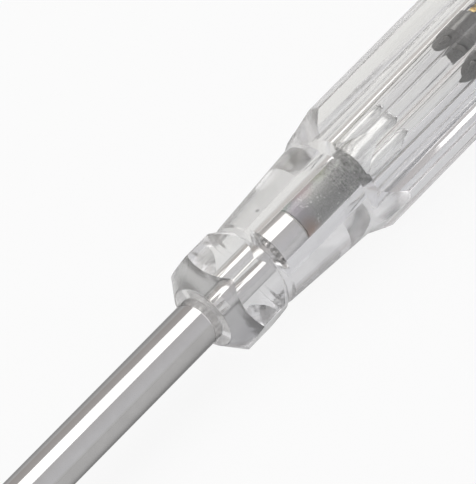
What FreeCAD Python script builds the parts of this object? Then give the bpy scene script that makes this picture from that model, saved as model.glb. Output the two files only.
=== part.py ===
import FreeCAD, Part
import math
import os

# Circuit test light with a clear screwdriver handle.
# Millimetres, +X from the needle to the cap, +Z up.  The origin lies on the axis, at the front face of the
# handle's hexagonal collar, where the probe shaft comes out.

# ---------------------------------------------------------------- driving dimensions
# Handle: hexagonal collar, plain neck, fluted grip
SIDES = 6
ROLL = 30.0                     # first collar corner and first ridge, degrees from +Z
COLLAR_CORNERS_D = 17.8         # across the collar's corners
COLLAR_FACE_D = 10.6            # flat front face of the collar
COLLAR_CHAMFER = 3.5            # length of the front chamfer at the corners
COLLAR_FLAT = 4.7               # length of the corner edges between the chamfers
COLLAR_BACK = 2.7               # length of the rear chamfer
GROOVE_DEPTH = 0.15             # shallow turned groove between collar and neck
GROOVE_LENGTH = 0.8
NECK_RUNOUT = 0.5               # length of the slope out of the groove
NECK_FRONT_D = 14.9
NECK_REAR_D = 17.2
NECK_END = 29.3                 # where the grip starts to swell
GRIP_RIDGE_D = 22.0             # across the ridge tops
GRIP_VALLEY_D = 18.4            # across the bottoms of the flutes
GRIP_START = 5.6                # length of the cone that starts the ridges
RIDGE_TOP = 2.15                # width of each ridge's top
HANDLE_LENGTH = 88.0
GRIP_END_BEVEL = 1.6            # bevel at the grip's rear end
GRIP_END_D = 19.2               # diameter of the grip's rear face

# Bores of the handle, from the front
SHAFT_SEAT_D = 7.0              # spigot of the shaft, let into the collar's front face
SHAFT_SEAT = 1.0
SOCKET_BORE_START = 14.3
SOCKET_BORE_D = 6.1
BORE_POINT = 1.5                # length of the cone at its front end
WIDE_BORE_START = 32.0
WIDE_BORE_D = 9.0
BORE_CONE = 1.3                 # length of the cone between the two bores
THREAD_D = 12.0                 # thread of the end cap, modelled plain
THREAD_DEPTH = 11.6             # length of the threaded mouth
MOUTH_BEVEL = 0.4

# Probe
SHAFT_D = 7.4
SHAFT_LENGTH = 70.0             # from the collar's front face
SHAFT_TAPER = 18.0
SHAFT_NOSE_D = 3.4
TANG_D = 3.1
TANG_HEAD = 5.4                 # length of the tang's thick head, in front of the socket
HEAD_PLAY = 0.1                 # along the axis, head's cone behind the bore's cone
TANG_REACH = 2.5                # thin tang behind its head
NEEDLE_D = 2.0
NEEDLE_OUT = 16.0               # needle in front of the shaft's nose
NEEDLE_HELD = 8.0               # needle inside the shaft
NEEDLE_POINT = 11.0
NEEDLE_TIP_D = 0.2

# Lamp holder
SOCKET_GAP = 0.3                # air between the tang's head and the socket
SOCKET_D = 5.9                  # also the tang's head
SOCKET_WALL = 0.3
SOCKET_LENGTH = 14.0
BUSH_LENGTH = 3.5
FIT = 0.05                      # radial clearance of pieces that slide together
CONTACT_LENGTH = 1.6
CONTACT_HEAD_D = 2.4
CONTACT_STEP = 0.6

# Lamp
TIP_LENGTH = 0.4
TIP_D = 1.5
LAMP_INSULATOR = 0.4
LAMP_SHELL_WALL = 0.25
LAMP_FLANGE = 0.4
GLASS_D = 6.6
GLASS_WALL = 0.4
GLASS_NECK = 1.8                # length from the flange to the full width
GLASS_BODY = 5.0                # straight part of the envelope
DOME_STEPS = 3                  # cones that make the envelope's round end
GLASS_INSIDE = 6.4              # glass held inside the lamp's shell
STEM_LENGTH = 2.4
LEAD_WIRE_D = 0.3
LEAD_WIRE_GAP = 1.8
LEAD_WIRE_REACH = 6.6           # wires behind the stem
FILAMENT_D = 0.16
FILAMENT_RISE = 0.9

# Return contact and its rails
RAIL_D = 0.7
RAIL_CIRCLE_D = 8.0             # circle on which the two rails lie
RAIL_ANGLE = -60.0
RAIL_FOOT = 0.7                 # length of rail soldered along the socket
RAIL_BEND = 1.6
CUP_FRONT = 60.0
CUP_D = 8.7
CUP_FACE = 1.0
CUP_SKIRT = 3.5
CUP_WALL = 0.45
TERMINAL_D = 4.0
TERMINAL_LENGTH = 7.5
TERMINAL_BORE_D = 1.6
TERMINAL_BORE_DEPTH = 6.0
RIVET_D = 2.6
RIVET_HEAD_D = 3.8
RIVET_HEAD = 0.6
CLAMP_SCREW_D = 1.6
CLAMP_SCREW_HEAD_D = 2.4
CLAMP_SCREW_HEAD = 0.6
CLAMP_SCREW_PLACE = 5.0         # from the cup's face

# Spring and its washer
SPRING_MEAN_D = 6.6
SPRING_WIRE_D = 0.7
SPRING_TURNS = 7.0
SPRING_CLOSED_TURNS = 1.25      # closed turns at each end
SPRING_CLOSED_PITCH = 0.75
COIL_STEPS = 12                 # facets per turn of the coil
WIRE_SIDES = 6                  # facets round the wire
WASHER_D = 8.6
WASHER_HOLE_D = 5.0
WASHER = 0.8

# End cap
THREAD_CLEARANCE = 0.08         # radial, cap thread in handle
SPIGOT_LENGTH = 11.2
CAP_BORE_D = 7.4
SEAL = 0.8
SEAL_D = 16.6
CAP_HEAD = 14.0
CAP_DOME = 5.0                  # length of the rounded end, in two cones
CAP_DOME_STEP = 2.0
CAP_SHOULDER_D = 18.4
CAP_REAR_D = 12.4
CAP_FRONT_D = 19.6
CAP_FRONT_BEVEL = 0.8
CAP_RIDGE_D = 21.0
CAP_VALLEY_D = 18.4
CAP_RIDGE_TOP = 2.4
CAP_END_WALL = 2.0
GROMMET_HOLE_D = 5.8
GROMMET_FLANGE_D = 8.6
GROMMET_LIP = 1.2
GROMMET_LIP_PLAY = 0.1          # radial, lip inside the hollow of the cap
GROMMET_NOSE = 1.6
GROMMET_NOSE_D = 7.0
CABLE_HOLE_D = 4.0

# ---------------------------------------------------------------- places along the axis
COLLAR_FLAT_END = COLLAR_CHAMFER + COLLAR_FLAT
COLLAR_END = COLLAR_FLAT_END + COLLAR_BACK
NECK_START = COLLAR_END + GROOVE_LENGTH + NECK_RUNOUT
THREAD_START = HANDLE_LENGTH - THREAD_DEPTH
HEAD_END = SOCKET_BORE_START + TANG_HEAD
TANG_END = HEAD_END + TANG_REACH
SOCKET_FRONT = HEAD_END + SOCKET_GAP
SOCKET_REAR = SOCKET_FRONT + SOCKET_LENGTH
CONTACT_END = TANG_END + CONTACT_LENGTH
INSULATOR_FRONT = CONTACT_END + TIP_LENGTH
SHELL_FRONT = INSULATOR_FRONT + LAMP_INSULATOR
FLANGE_END = SOCKET_REAR + LAMP_FLANGE
GLASS_START = FLANGE_END - GLASS_INSIDE
STEM_END = GLASS_START + STEM_LENGTH
WIRE_END = STEM_END + LEAD_WIRE_REACH
CUP_BACK = CUP_FRONT + CUP_FACE
TERMINAL_END = CUP_BACK + TERMINAL_LENGTH
SEAL_END = HANDLE_LENGTH + SEAL
SPIGOT_FRONT = HANDLE_LENGTH - SPIGOT_LENGTH
WASHER_FRONT = SPIGOT_FRONT - WASHER
CAP_END = SEAL_END + CAP_HEAD


def vec(x, y, z):
    return FreeCAD.Vector(x, y, z)


AXIS = vec(1, 0, 0)
ORIGIN = vec(0, 0, 0)


def rod(start, end, diameter):
    """Cylinder on the axis."""
    return Part.makeCylinder(diameter / 2, end - start, vec(start, 0, 0), AXIS)


def turned(outline):
    """Solid of revolution from (place, diameter) pairs, closed along the axis."""
    first, last = outline[0], outline[-1]
    points = [vec(first[0], 0, 0)]
    points += [vec(place, 0, diameter / 2) for place, diameter in outline if diameter > 0]
    points += [vec(last[0], 0, 0), vec(first[0], 0, 0)]
    return Part.Face(Part.makePolygon(points)).revolve(ORIGIN, AXIS, 360)


def ring(outline):
    """Solid of revolution from a closed loop of (place, diameter) pairs that stays off the axis."""
    points = [vec(place, 0, diameter / 2) for place, diameter in outline]
    return Part.Face(Part.makePolygon(points + points[:1])).revolve(ORIGIN, AXIS, 360)


def tube(start, end, outer, inner):
    """Plain ring or tube on the axis."""
    return ring([(start, inner), (start, outer), (end, outer), (end, inner)])


def radial(diameter, degrees, place):
    """Point on a circle round the axis, measured from +Z towards -Y."""
    angle = math.radians(degrees)
    return vec(place, -diameter / 2 * math.sin(angle), diameter / 2 * math.cos(angle))


# ---------------------------------------------------------------- handle
def hexagon_bar(start, end):
    corners = [radial(COLLAR_CORNERS_D, ROLL + 360 / SIDES * i, start) for i in range(SIDES)]
    face = Part.Face(Part.makePolygon(corners + corners[:1]))
    return face.extrude(vec(end - start, 0, 0))


def fluted_bar(start, end, ridge_d, valley_d, top):
    """Bar whose ridges have narrow round tops with shallow concave flutes between them."""
    half_top = math.degrees(math.asin(top / ridge_d))
    step = 360 / SIDES
    edges = []
    for i in range(SIDES):
        middle = ROLL + step * i
        left = radial(ridge_d, middle - half_top, start)
        crest = radial(ridge_d, middle, start)
        right = radial(ridge_d, middle + half_top, start)
        valley = radial(valley_d, middle + step / 2, start)
        next_left = radial(ridge_d, middle + step - half_top, start)
        edges.append(Part.Arc(left, crest, right).toShape())
        edges.append(Part.Arc(right, valley, next_left).toShape())
    face = Part.Face(Part.Wire(edges))
    return face.extrude(vec(end - start, 0, 0))


def collar():
    """Hexagonal collar with turned chamfers at both ends."""
    groove_d = NECK_FRONT_D - 2 * GROOVE_DEPTH
    envelope = turned([
        (0, COLLAR_FACE_D),
        (COLLAR_CHAMFER, COLLAR_CORNERS_D),
        (COLLAR_FLAT_END, COLLAR_CORNERS_D),
        (COLLAR_END, groove_d),
    ])
    return hexagon_bar(0, COLLAR_END).common(envelope)


def neck():
    """Slightly tapered round neck, with the shallow groove in front of it."""
    groove_d = NECK_FRONT_D - 2 * GROOVE_DEPTH
    return turned([
        (COLLAR_END, groove_d),
        (COLLAR_END + GROOVE_LENGTH, groove_d),
        (NECK_START, NECK_FRONT_D),
        (NECK_END, NECK_REAR_D),
    ])


def grip():
    """Fluted grip whose ridges start on a cone and end in a bevel."""
    envelope = turned([
        (NECK_END, NECK_REAR_D),
        (NECK_END + GRIP_START, GRIP_RIDGE_D),
        (HANDLE_LENGTH - GRIP_END_BEVEL, GRIP_RIDGE_D),
        (HANDLE_LENGTH, GRIP_END_D),
    ])
    bar = fluted_bar(NECK_END, HANDLE_LENGTH, GRIP_RIDGE_D, GRIP_VALLEY_D, RIDGE_TOP)
    return bar.common(envelope)


def handle_bore():
    """Everything that is hollow in the handle, from the shaft's seat to the threaded mouth."""
    return turned([
        (0, SHAFT_SEAT_D),
        (SHAFT_SEAT, SHAFT_SEAT_D),
        (SHAFT_SEAT, TANG_D),
        (SOCKET_BORE_START - BORE_POINT, TANG_D),
        (SOCKET_BORE_START, SOCKET_BORE_D),
        (WIDE_BORE_START, SOCKET_BORE_D),
        (WIDE_BORE_START + BORE_CONE, WIDE_BORE_D),
        (THREAD_START, WIDE_BORE_D),
        (THREAD_START, THREAD_D),
        (HANDLE_LENGTH - MOUTH_BEVEL, THREAD_D),
        (HANDLE_LENGTH, THREAD_D + 2 * MOUTH_BEVEL),
    ])


def handle_body():
    body = collar().fuse([neck(), grip()]).removeSplitter()
    return body.cut(handle_bore())


# ---------------------------------------------------------------- probe
def probe_shaft():
    """Chromed shaft, tapered to its nose, and behind it the thin tang with its thick head."""
    nose = -SHAFT_LENGTH
    body = turned([
        (nose, SHAFT_NOSE_D),
        (nose + SHAFT_TAPER, SHAFT_D),
        (0, SHAFT_D),
        (0, SHAFT_SEAT_D),
        (SHAFT_SEAT, SHAFT_SEAT_D),
        (SHAFT_SEAT, TANG_D),
        (SOCKET_BORE_START - BORE_POINT + HEAD_PLAY, TANG_D),
        (SOCKET_BORE_START, SOCKET_D),
        (HEAD_END, SOCKET_D),
        (HEAD_END, TANG_D),
        (TANG_END, TANG_D),
    ])
    return body.cut(rod(nose, nose + NEEDLE_HELD, NEEDLE_D))


def probe_needle():
    """Hardened needle pressed into the shaft's nose."""
    tip = -SHAFT_LENGTH - NEEDLE_OUT
    return turned([
        (tip, NEEDLE_TIP_D),
        (tip + NEEDLE_POINT, NEEDLE_D),
        (NEEDLE_HELD - SHAFT_LENGTH, NEEDLE_D),
    ])


# ---------------------------------------------------------------- lamp holder
def lamp_socket():
    """Plain metal tube that holds the lamp by its shell."""
    return tube(SOCKET_FRONT, SOCKET_REAR, SOCKET_D, SOCKET_D - 2 * SOCKET_WALL)


def insulating_bush():
    """Bush that keeps the live tang away from the socket."""
    return tube(HEAD_END, HEAD_END + BUSH_LENGTH, SOCKET_D - 2 * SOCKET_WALL, TANG_D + 2 * FIT)


def centre_contact():
    """Button between the tang's end and the lamp's tip."""
    return turned([
        (TANG_END, TANG_D),
        (CONTACT_END - CONTACT_STEP, TANG_D),
        (CONTACT_END, CONTACT_HEAD_D),
    ])


# ---------------------------------------------------------------- lamp
def shell_outer_d():
    return SOCKET_D - 2 * SOCKET_WALL - 2 * FIT


def shell_inner_d():
    return shell_outer_d() - 2 * LAMP_SHELL_WALL


def lamp_tip():
    return turned([(CONTACT_END, TIP_D / 2), (CONTACT_END + TIP_LENGTH / 2, TIP_D), (INSULATOR_FRONT, TIP_D)])


def lamp_insulator():
    return turned([
        (INSULATOR_FRONT, TIP_D + 2 * LAMP_INSULATOR),
        (SHELL_FRONT, shell_outer_d()),
    ])


def lamp_shell():
    """Metal shell of the lamp, closed in front and flanged behind."""
    outer = shell_outer_d()
    inner = shell_inner_d()
    return turned([
        (SHELL_FRONT, outer),
        (SOCKET_REAR, outer),
        (SOCKET_REAR, SOCKET_D - 2 * FIT),
        (FLANGE_END, SOCKET_D - 2 * FIT),
    ]).cut(rod(SHELL_FRONT + LAMP_SHELL_WALL, FLANGE_END, inner))


def domed(width, start):
    """Outline of a bulb's side and rounded end, as (place, diameter) pairs, for a width."""
    outline = [(start, width)]
    for step in range(1, DOME_STEPS):
        angle = math.pi / 2 * step / DOME_STEPS
        outline.append((start + width / 2 * math.sin(angle), width * math.cos(angle)))
    return outline + [(start + width / 2, 0)]


def lamp_glass():
    """Envelope, open at the end that the shell holds."""
    neck_d = shell_inner_d()
    full = FLANGE_END + GLASS_NECK
    bulb = []
    for wall in (0, 2 * GLASS_WALL):
        side = [(GLASS_START, neck_d - wall), (FLANGE_END, neck_d - wall), (full, GLASS_D - wall)]
        bulb.append(turned(side + domed(GLASS_D - wall, full + GLASS_BODY)))
    return bulb[0].cut(bulb[1])


def lamp_stem():
    """Glass plug that seals the envelope and carries the wires."""
    return turned([
        (GLASS_START, shell_inner_d() - 2 * GLASS_WALL),
        (STEM_END - STEM_LENGTH / 2, shell_inner_d() - 2 * GLASS_WALL),
        (STEM_END, LEAD_WIRE_GAP + 2 * LEAD_WIRE_D),
    ])


def lead_wire(side):
    centre = vec(STEM_END, side * LEAD_WIRE_GAP / 2, 0)
    return Part.makeCylinder(LEAD_WIRE_D / 2, LEAD_WIRE_REACH, centre, AXIS)


def lamp_wires():
    return Part.makeCompound([lead_wire(side) for side in (-1, 1)])


def lamp_filament():
    """Filament, in a low arch between the ends of the two wires."""
    half = LEAD_WIRE_GAP / 2
    shoulder = WIRE_END + FILAMENT_RISE
    points = [
        vec(WIRE_END, -half, 0),
        vec(shoulder, -half / 2, 0),
        vec(shoulder, half / 2, 0),
        vec(WIRE_END, half, 0),
    ]
    path = Part.makePolygon(points)
    section = Part.Wire([Part.makeCircle(FILAMENT_D / 2, points[0], points[1] - points[0])])
    return path.makePipeShell([section], True, False, 1)


# ---------------------------------------------------------------- return contact
def rail(degrees):
    """Wire from the side of the socket, bent outwards past the glass, to the contact cup."""
    foot_d = SOCKET_D + RAIL_D
    foot = SOCKET_REAR - RAIL_FOOT
    foot_end = SOCKET_REAR
    bend_end = foot_end + RAIL_BEND
    points = [
        radial(foot_d, degrees, foot),
        radial(foot_d, degrees, foot_end),
        radial(RAIL_CIRCLE_D, degrees, bend_end),
        radial(RAIL_CIRCLE_D, degrees, CUP_FRONT),
    ]
    path = Part.makePolygon(points)
    section = Part.Wire([Part.makeCircle(RAIL_D / 2, points[0], AXIS)])
    return path.makePipeShell([section], True, False, 1)


def contact_rails():
    return Part.makeCompound([rail(RAIL_ANGLE), rail(RAIL_ANGLE + 180)])


def contact_cup():
    """Shallow cup that carries the spring's front end."""
    body = rod(CUP_FRONT, CUP_BACK + CUP_SKIRT, CUP_D)
    body = body.cut(rod(CUP_BACK, CUP_BACK + CUP_SKIRT, CUP_D - 2 * CUP_WALL))
    return body.cut(rod(CUP_FRONT, CUP_BACK, RIVET_D))


def clamp_screw_start():
    return CUP_BACK + CLAMP_SCREW_PLACE


def lead_terminal():
    """Terminal for the lead's bare end, riveted into the cup."""
    body = turned([
        (CUP_FRONT - RIVET_HEAD, RIVET_HEAD_D - RIVET_HEAD),
        (CUP_FRONT, RIVET_HEAD_D),
        (CUP_FRONT, RIVET_D),
        (CUP_BACK, RIVET_D),
        (CUP_BACK, TERMINAL_D),
        (TERMINAL_END, TERMINAL_D),
    ])
    body = body.cut(rod(TERMINAL_END - TERMINAL_BORE_DEPTH, TERMINAL_END, TERMINAL_BORE_D))
    hole = Part.makeCylinder(CLAMP_SCREW_D / 2, TERMINAL_D, vec(clamp_screw_start(), 0, 0), vec(0, 0, 1))
    return body.cut(hole)


def clamp_screw():
    """Small screw that clamps the lead in the terminal."""
    place = clamp_screw_start()
    up = vec(0, 0, 1)
    bottom = TERMINAL_BORE_D / 4
    shank = Part.makeCylinder(CLAMP_SCREW_D / 2, TERMINAL_D / 2 - bottom, vec(place, 0, bottom), up)
    head = Part.makeCylinder(CLAMP_SCREW_HEAD_D / 2, CLAMP_SCREW_HEAD, vec(place, 0, TERMINAL_D / 2), up)
    flush = rod(place - CLAMP_SCREW_HEAD_D, place + CLAMP_SCREW_HEAD_D, TERMINAL_D)
    return shank.fuse(head.cut(flush)).removeSplitter()


def spring_place(turn):
    """Distance of the wire's centre line from the spring's first coil, for a count of turns."""
    length = WASHER_FRONT - CUP_BACK - SPRING_WIRE_D
    closed = SPRING_CLOSED_TURNS * SPRING_CLOSED_PITCH
    pitch = (length - 2 * closed) / (SPRING_TURNS - 2 * SPRING_CLOSED_TURNS)
    if turn < SPRING_CLOSED_TURNS:
        return turn * SPRING_CLOSED_PITCH
    if turn > SPRING_TURNS - SPRING_CLOSED_TURNS:
        return length - (SPRING_TURNS - turn) * SPRING_CLOSED_PITCH
    return closed + (turn - SPRING_CLOSED_TURNS) * pitch


def wire_section(turn):
    """Cross-section of the spring's wire, square to the coil, as a closed polygon."""
    angle = 2 * math.pi * turn
    outward = vec(0, -math.sin(angle), math.cos(angle))
    centre = outward * (SPRING_MEAN_D / 2)
    centre += AXIS * (CUP_BACK + SPRING_WIRE_D / 2 + spring_place(turn))
    points = []
    for i in range(WIRE_SIDES):
        round_wire = 2 * math.pi * i / WIRE_SIDES
        offset = outward * math.cos(round_wire) + AXIS * math.sin(round_wire)
        points.append(centre + offset * (SPRING_WIRE_D / 2))
    return Part.makePolygon(points + points[:1])


def contact_spring():
    """Compression spring between the cup and the washer, with closed end coils."""
    steps = round(SPRING_TURNS * COIL_STEPS)
    sections = [wire_section(SPRING_TURNS * i / steps) for i in range(steps + 1)]
    return Part.makeLoft(sections, True, True)


def spring_washer():
    return tube(WASHER_FRONT, SPIGOT_FRONT, WASHER_D, WASHER_HOLE_D)


# ---------------------------------------------------------------- end cap
def end_cap():
    """Fluted screw cap: a threaded spigot, a hollow head and a round end with the cable's hole."""
    envelope = turned([
        (SEAL_END, CAP_FRONT_D),
        (SEAL_END + CAP_FRONT_BEVEL, CAP_RIDGE_D),
        (CAP_END - CAP_DOME, CAP_RIDGE_D),
        (CAP_END - CAP_DOME_STEP, CAP_SHOULDER_D),
        (CAP_END, CAP_REAR_D),
    ])
    head = fluted_bar(SEAL_END, CAP_END, CAP_RIDGE_D, CAP_VALLEY_D, CAP_RIDGE_TOP).common(envelope)
    spigot_d = THREAD_D - 2 * THREAD_CLEARANCE
    spigot = turned([
        (SPIGOT_FRONT, spigot_d - 2 * MOUTH_BEVEL),
        (SPIGOT_FRONT + MOUTH_BEVEL, spigot_d),
        (SEAL_END, spigot_d),
    ])
    body = head.fuse(spigot).removeSplitter()
    hollow = rod(SPIGOT_FRONT, CAP_END - CAP_END_WALL, CAP_BORE_D)
    hole = rod(CAP_END - CAP_END_WALL, CAP_END, GROMMET_HOLE_D)
    return body.cut(hollow).cut(hole)


def cap_seal():
    return tube(HANDLE_LENGTH, SEAL_END, SEAL_D, THREAD_D - 2 * THREAD_CLEARANCE)


def cable_grommet():
    """Rubber bush that snaps into the cap's end wall; the cable passes through it."""
    inner = CAP_END - CAP_END_WALL
    return ring([
        (inner - GROMMET_LIP, CABLE_HOLE_D),
        (inner - GROMMET_LIP, GROMMET_HOLE_D),
        (inner, CAP_BORE_D - 2 * GROMMET_LIP_PLAY),
        (inner, GROMMET_HOLE_D),
        (CAP_END, GROMMET_HOLE_D),
        (CAP_END, GROMMET_FLANGE_D),
        (CAP_END + GROMMET_NOSE / 2, GROMMET_FLANGE_D),
        (CAP_END + GROMMET_NOSE, GROMMET_NOSE_D),
        (CAP_END + GROMMET_NOSE, CABLE_HOLE_D),
    ])


PARTS = {
    "handle_body": handle_body,
    "probe_shaft": probe_shaft,
    "probe_needle": probe_needle,
    "lamp_socket": lamp_socket,
    "insulating_bush": insulating_bush,
    "centre_contact": centre_contact,
    "lamp_tip": lamp_tip,
    "lamp_insulator": lamp_insulator,
    "lamp_shell": lamp_shell,
    "lamp_glass": lamp_glass,
    "lamp_stem": lamp_stem,
    "lamp_wires": lamp_wires,
    "lamp_filament": lamp_filament,
    "contact_rails": contact_rails,
    "contact_cup": contact_cup,
    "lead_terminal": lead_terminal,
    "clamp_screw": clamp_screw,
    "contact_spring": contact_spring,
    "spring_washer": spring_washer,
    "end_cap": end_cap,
    "cap_seal": cap_seal,
    "cable_grommet": cable_grommet,
}


def main():
    os.makedirs("parts", exist_ok=True)
    for name, make in PARTS.items():
        make().exportStep("parts/%s.step" % name)


main()
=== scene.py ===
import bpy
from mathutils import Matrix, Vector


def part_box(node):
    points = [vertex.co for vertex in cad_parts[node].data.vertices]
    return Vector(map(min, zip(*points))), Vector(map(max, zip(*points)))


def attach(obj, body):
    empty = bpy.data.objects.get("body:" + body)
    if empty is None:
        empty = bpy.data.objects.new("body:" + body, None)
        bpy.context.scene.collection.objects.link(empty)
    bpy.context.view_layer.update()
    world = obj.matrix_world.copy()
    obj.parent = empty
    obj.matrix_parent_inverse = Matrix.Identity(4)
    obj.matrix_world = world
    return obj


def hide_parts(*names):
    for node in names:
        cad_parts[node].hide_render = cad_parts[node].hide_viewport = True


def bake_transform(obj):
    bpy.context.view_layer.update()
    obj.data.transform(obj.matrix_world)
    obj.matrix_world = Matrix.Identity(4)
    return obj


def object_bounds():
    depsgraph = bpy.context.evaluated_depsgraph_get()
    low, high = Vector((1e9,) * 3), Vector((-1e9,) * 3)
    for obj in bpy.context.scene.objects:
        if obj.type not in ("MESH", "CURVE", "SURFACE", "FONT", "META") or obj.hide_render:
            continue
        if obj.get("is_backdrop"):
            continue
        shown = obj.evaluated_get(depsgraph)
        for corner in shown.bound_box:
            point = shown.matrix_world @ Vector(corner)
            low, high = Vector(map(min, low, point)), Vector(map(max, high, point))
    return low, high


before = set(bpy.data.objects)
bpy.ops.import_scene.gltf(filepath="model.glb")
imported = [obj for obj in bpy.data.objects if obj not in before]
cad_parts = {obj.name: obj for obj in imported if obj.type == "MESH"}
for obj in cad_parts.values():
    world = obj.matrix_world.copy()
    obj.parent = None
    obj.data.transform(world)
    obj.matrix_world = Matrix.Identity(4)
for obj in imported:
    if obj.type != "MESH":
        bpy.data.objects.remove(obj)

"""Circuit test light with a clear screwdriver handle: the visual model round its CAD frame.

Lengths are in millimetres while a piece is on the bench and become metres when it is finished.
+X runs from the needle to the cap, +Z is up, and the origin is on the axis at the collar's front
face.
"""

import logging
import math
from collections.abc import Callable, Sequence
from dataclasses import dataclass
from enum import Enum

import bmesh
import bpy
from mathutils import Vector

LOG = logging.getLogger("test_light")

MM = 0.001
AXIS = (1.0, 0.0, 0.0)
ORIGIN = (0.0, 0.0, 0.0)
CLOSE = 0.0005                  # points nearer than this, in mm, are one point
NEAR = 0.05                     # a point nearer than this, in mm, to a corner is that corner
WIRE_SIDES = 14                 # facets round a coiled wire
WIRE_STEPS = 32                 # and steps in each of its turns
UNIT_D = 2.0                    # diameter of a circle of radius 1
KNURL_START = 28.3              # place, in mm, where the knurl of the lamp holder begins

Piece = bpy.types.Object
Socket = bpy.types.NodeSocket
Outline = Sequence[tuple[float, float]]     # (place along the axis, diameter) pairs
Colour = tuple[float, float, float]


# ------------------------------------------------------------------ measures
@dataclass(frozen=True)
class Span:
    """Extent of a CAD node, in millimetres.

    Args:
        start: lowest place along the axis.
        end: highest place along the axis.
        width: largest diameter, across Y.
    """

    start: float
    end: float
    width: float

    @property
    def middle(self) -> float:
        """Place half-way along it."""
        return (self.start + self.end) / 2


def span(node: str) -> Span:
    """Extent of a CAD node."""
    low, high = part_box(node)
    return Span(low.x / MM, high.x / MM, (high.y - low.y) / MM)


def radial(diameter: float, degrees: float, place: float = 0.0) -> Vector:
    """Point on a circle round the axis, its degrees from +Z towards -Y, at a place along it."""
    angle = math.radians(degrees)
    return Vector((place, -diameter / 2 * math.sin(angle), diameter / 2 * math.cos(angle)))


# ------------------------------------------------------------------ the bench
class Element(Enum):
    """Kind of element that is selected."""

    POINT = "verts"
    EDGE = "edges"
    FACE = "faces"


class Combine(Enum):
    """What is left of two pieces that are combined."""

    BOTH = "UNION"
    REST = "DIFFERENCE"
    SHARED = "INTERSECT"


def clear_bench() -> None:
    """Leaves edit mode and deselects every object."""
    if bpy.context.object is not None and bpy.context.object.mode != "OBJECT":
        bpy.ops.object.mode_set(mode="OBJECT")
    bpy.ops.object.select_all(action="DESELECT")


def take(piece: Piece) -> None:
    """Selects one piece alone and makes it the active one.

    Args:
        piece: the piece.
    """
    clear_bench()
    piece.select_set(True)
    bpy.context.view_layer.objects.active = piece


def edit(piece: Piece) -> None:
    """Opens a piece in edit mode with nothing selected.

    Args:
        piece: the piece.
    """
    take(piece)
    bpy.ops.object.mode_set(mode="EDIT")
    bpy.ops.mesh.select_all(action="DESELECT")


def name_active(name: str) -> Piece:
    """Names the active object and its mesh.

    Args:
        name: the piece's name.

    Returns:
        The object.
    """
    piece = bpy.context.object
    piece.name = piece.data.name = name
    return piece


def settle() -> None:
    """Moves the active piece's place, turn and scale into its mesh."""
    bpy.ops.object.transform_apply(location=True, rotation=True, scale=True)


def pick_all() -> None:
    """Selects everything in edit mode."""
    bpy.ops.mesh.select_all(action="SELECT")


def merge() -> None:
    """Makes one point of each group of selected points that lie together."""
    bpy.ops.mesh.remove_doubles(threshold=CLOSE)


def pull(offset: Vector) -> None:
    """Extrudes what is selected by an offset."""
    bpy.ops.mesh.extrude_region_move(TRANSFORM_OT_translate={"value": offset})


def select_where(piece: Piece, kind: Element, test: Callable[..., bool]) -> int:
    """Selects the elements of a piece in edit mode that pass a test, and nothing else.

    Args:
        piece: the piece, in edit mode.
        kind: kind of element.
        test: takes an element and says whether it is selected.

    Returns:
        How many were selected.
    """
    bpy.ops.mesh.select_mode(type=kind.value[:-1].upper())
    bpy.ops.mesh.select_all(action="DESELECT")
    mesh = bmesh.from_edit_mesh(piece.data)
    chosen = [element for element in getattr(mesh, kind.value) if test(element)]
    for element in chosen:
        element.select_set(True)
    mesh.select_flush_mode()
    bmesh.update_edit_mesh(piece.data)
    return len(chosen)


def weld() -> None:
    """Merges doubles of the piece in edit mode, turns its faces outwards and leaves edit mode."""
    bpy.ops.mesh.select_mode(type="VERT")
    pick_all()
    merge()
    bpy.ops.mesh.normals_make_consistent(inside=False)
    bpy.ops.object.mode_set(mode="OBJECT")


def clean(piece: Piece) -> None:
    """Welds a finished piece."""
    edit(piece)
    weld()


def close_ends(piece: Piece) -> None:
    """Welds a wound piece and puts a face over each of its open ends.

    Args:
        piece: the piece.
    """
    clean(piece)
    edit(piece)
    pick_all()
    bpy.ops.mesh.fill_holes(sides=WIRE_SIDES)
    weld()


def set_up(name: str, add: Callable[..., set[str]], **settings: object) -> Piece:
    """Adds a primitive at its size and place.

    Args:
        name: the piece's name.
        add: the operator that adds it.
        settings: the operator's settings, by name.

    Returns:
        The primitive, with its place in its mesh.
    """
    clear_bench()
    add(**settings)
    piece = name_active(name)
    settle()
    return piece


def start_point(name: str, place: Vector) -> Piece:
    """Starts a piece as one selected point.

    Args:
        name: the piece's name.
        place: where the point is.

    Returns:
        The object, in edit mode.
    """
    piece = set_up(name, bpy.ops.mesh.primitive_plane_add, size=1)
    edit(piece)
    bpy.ops.mesh.select_mode(type="VERT")
    pick_all()
    bpy.ops.mesh.merge(type="CENTER")
    if place.length > 0:
        bpy.ops.transform.translate(value=place)
    return piece


def draw(name: str, points: Sequence[Vector]) -> Piece:
    """Draws a chain of edges by pulling a point along.

    Args:
        name: the piece's name.
        points: the chain's corners.

    Returns:
        The object, in edit mode.
    """
    piece = start_point(name, points[0])
    for here, there in zip(points, points[1:]):
        pull(there - here)
    return piece


def round_corners(piece: Piece, radius: float, test: Callable[..., bool], steps: int) -> None:
    """Rounds those corners of a chain in edit mode that pass a test."""
    if select_where(piece, Element.POINT, test):
        bpy.ops.mesh.bevel(offset=radius, segments=steps, affect="VERTICES", clamp_overlap=True)


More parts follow.
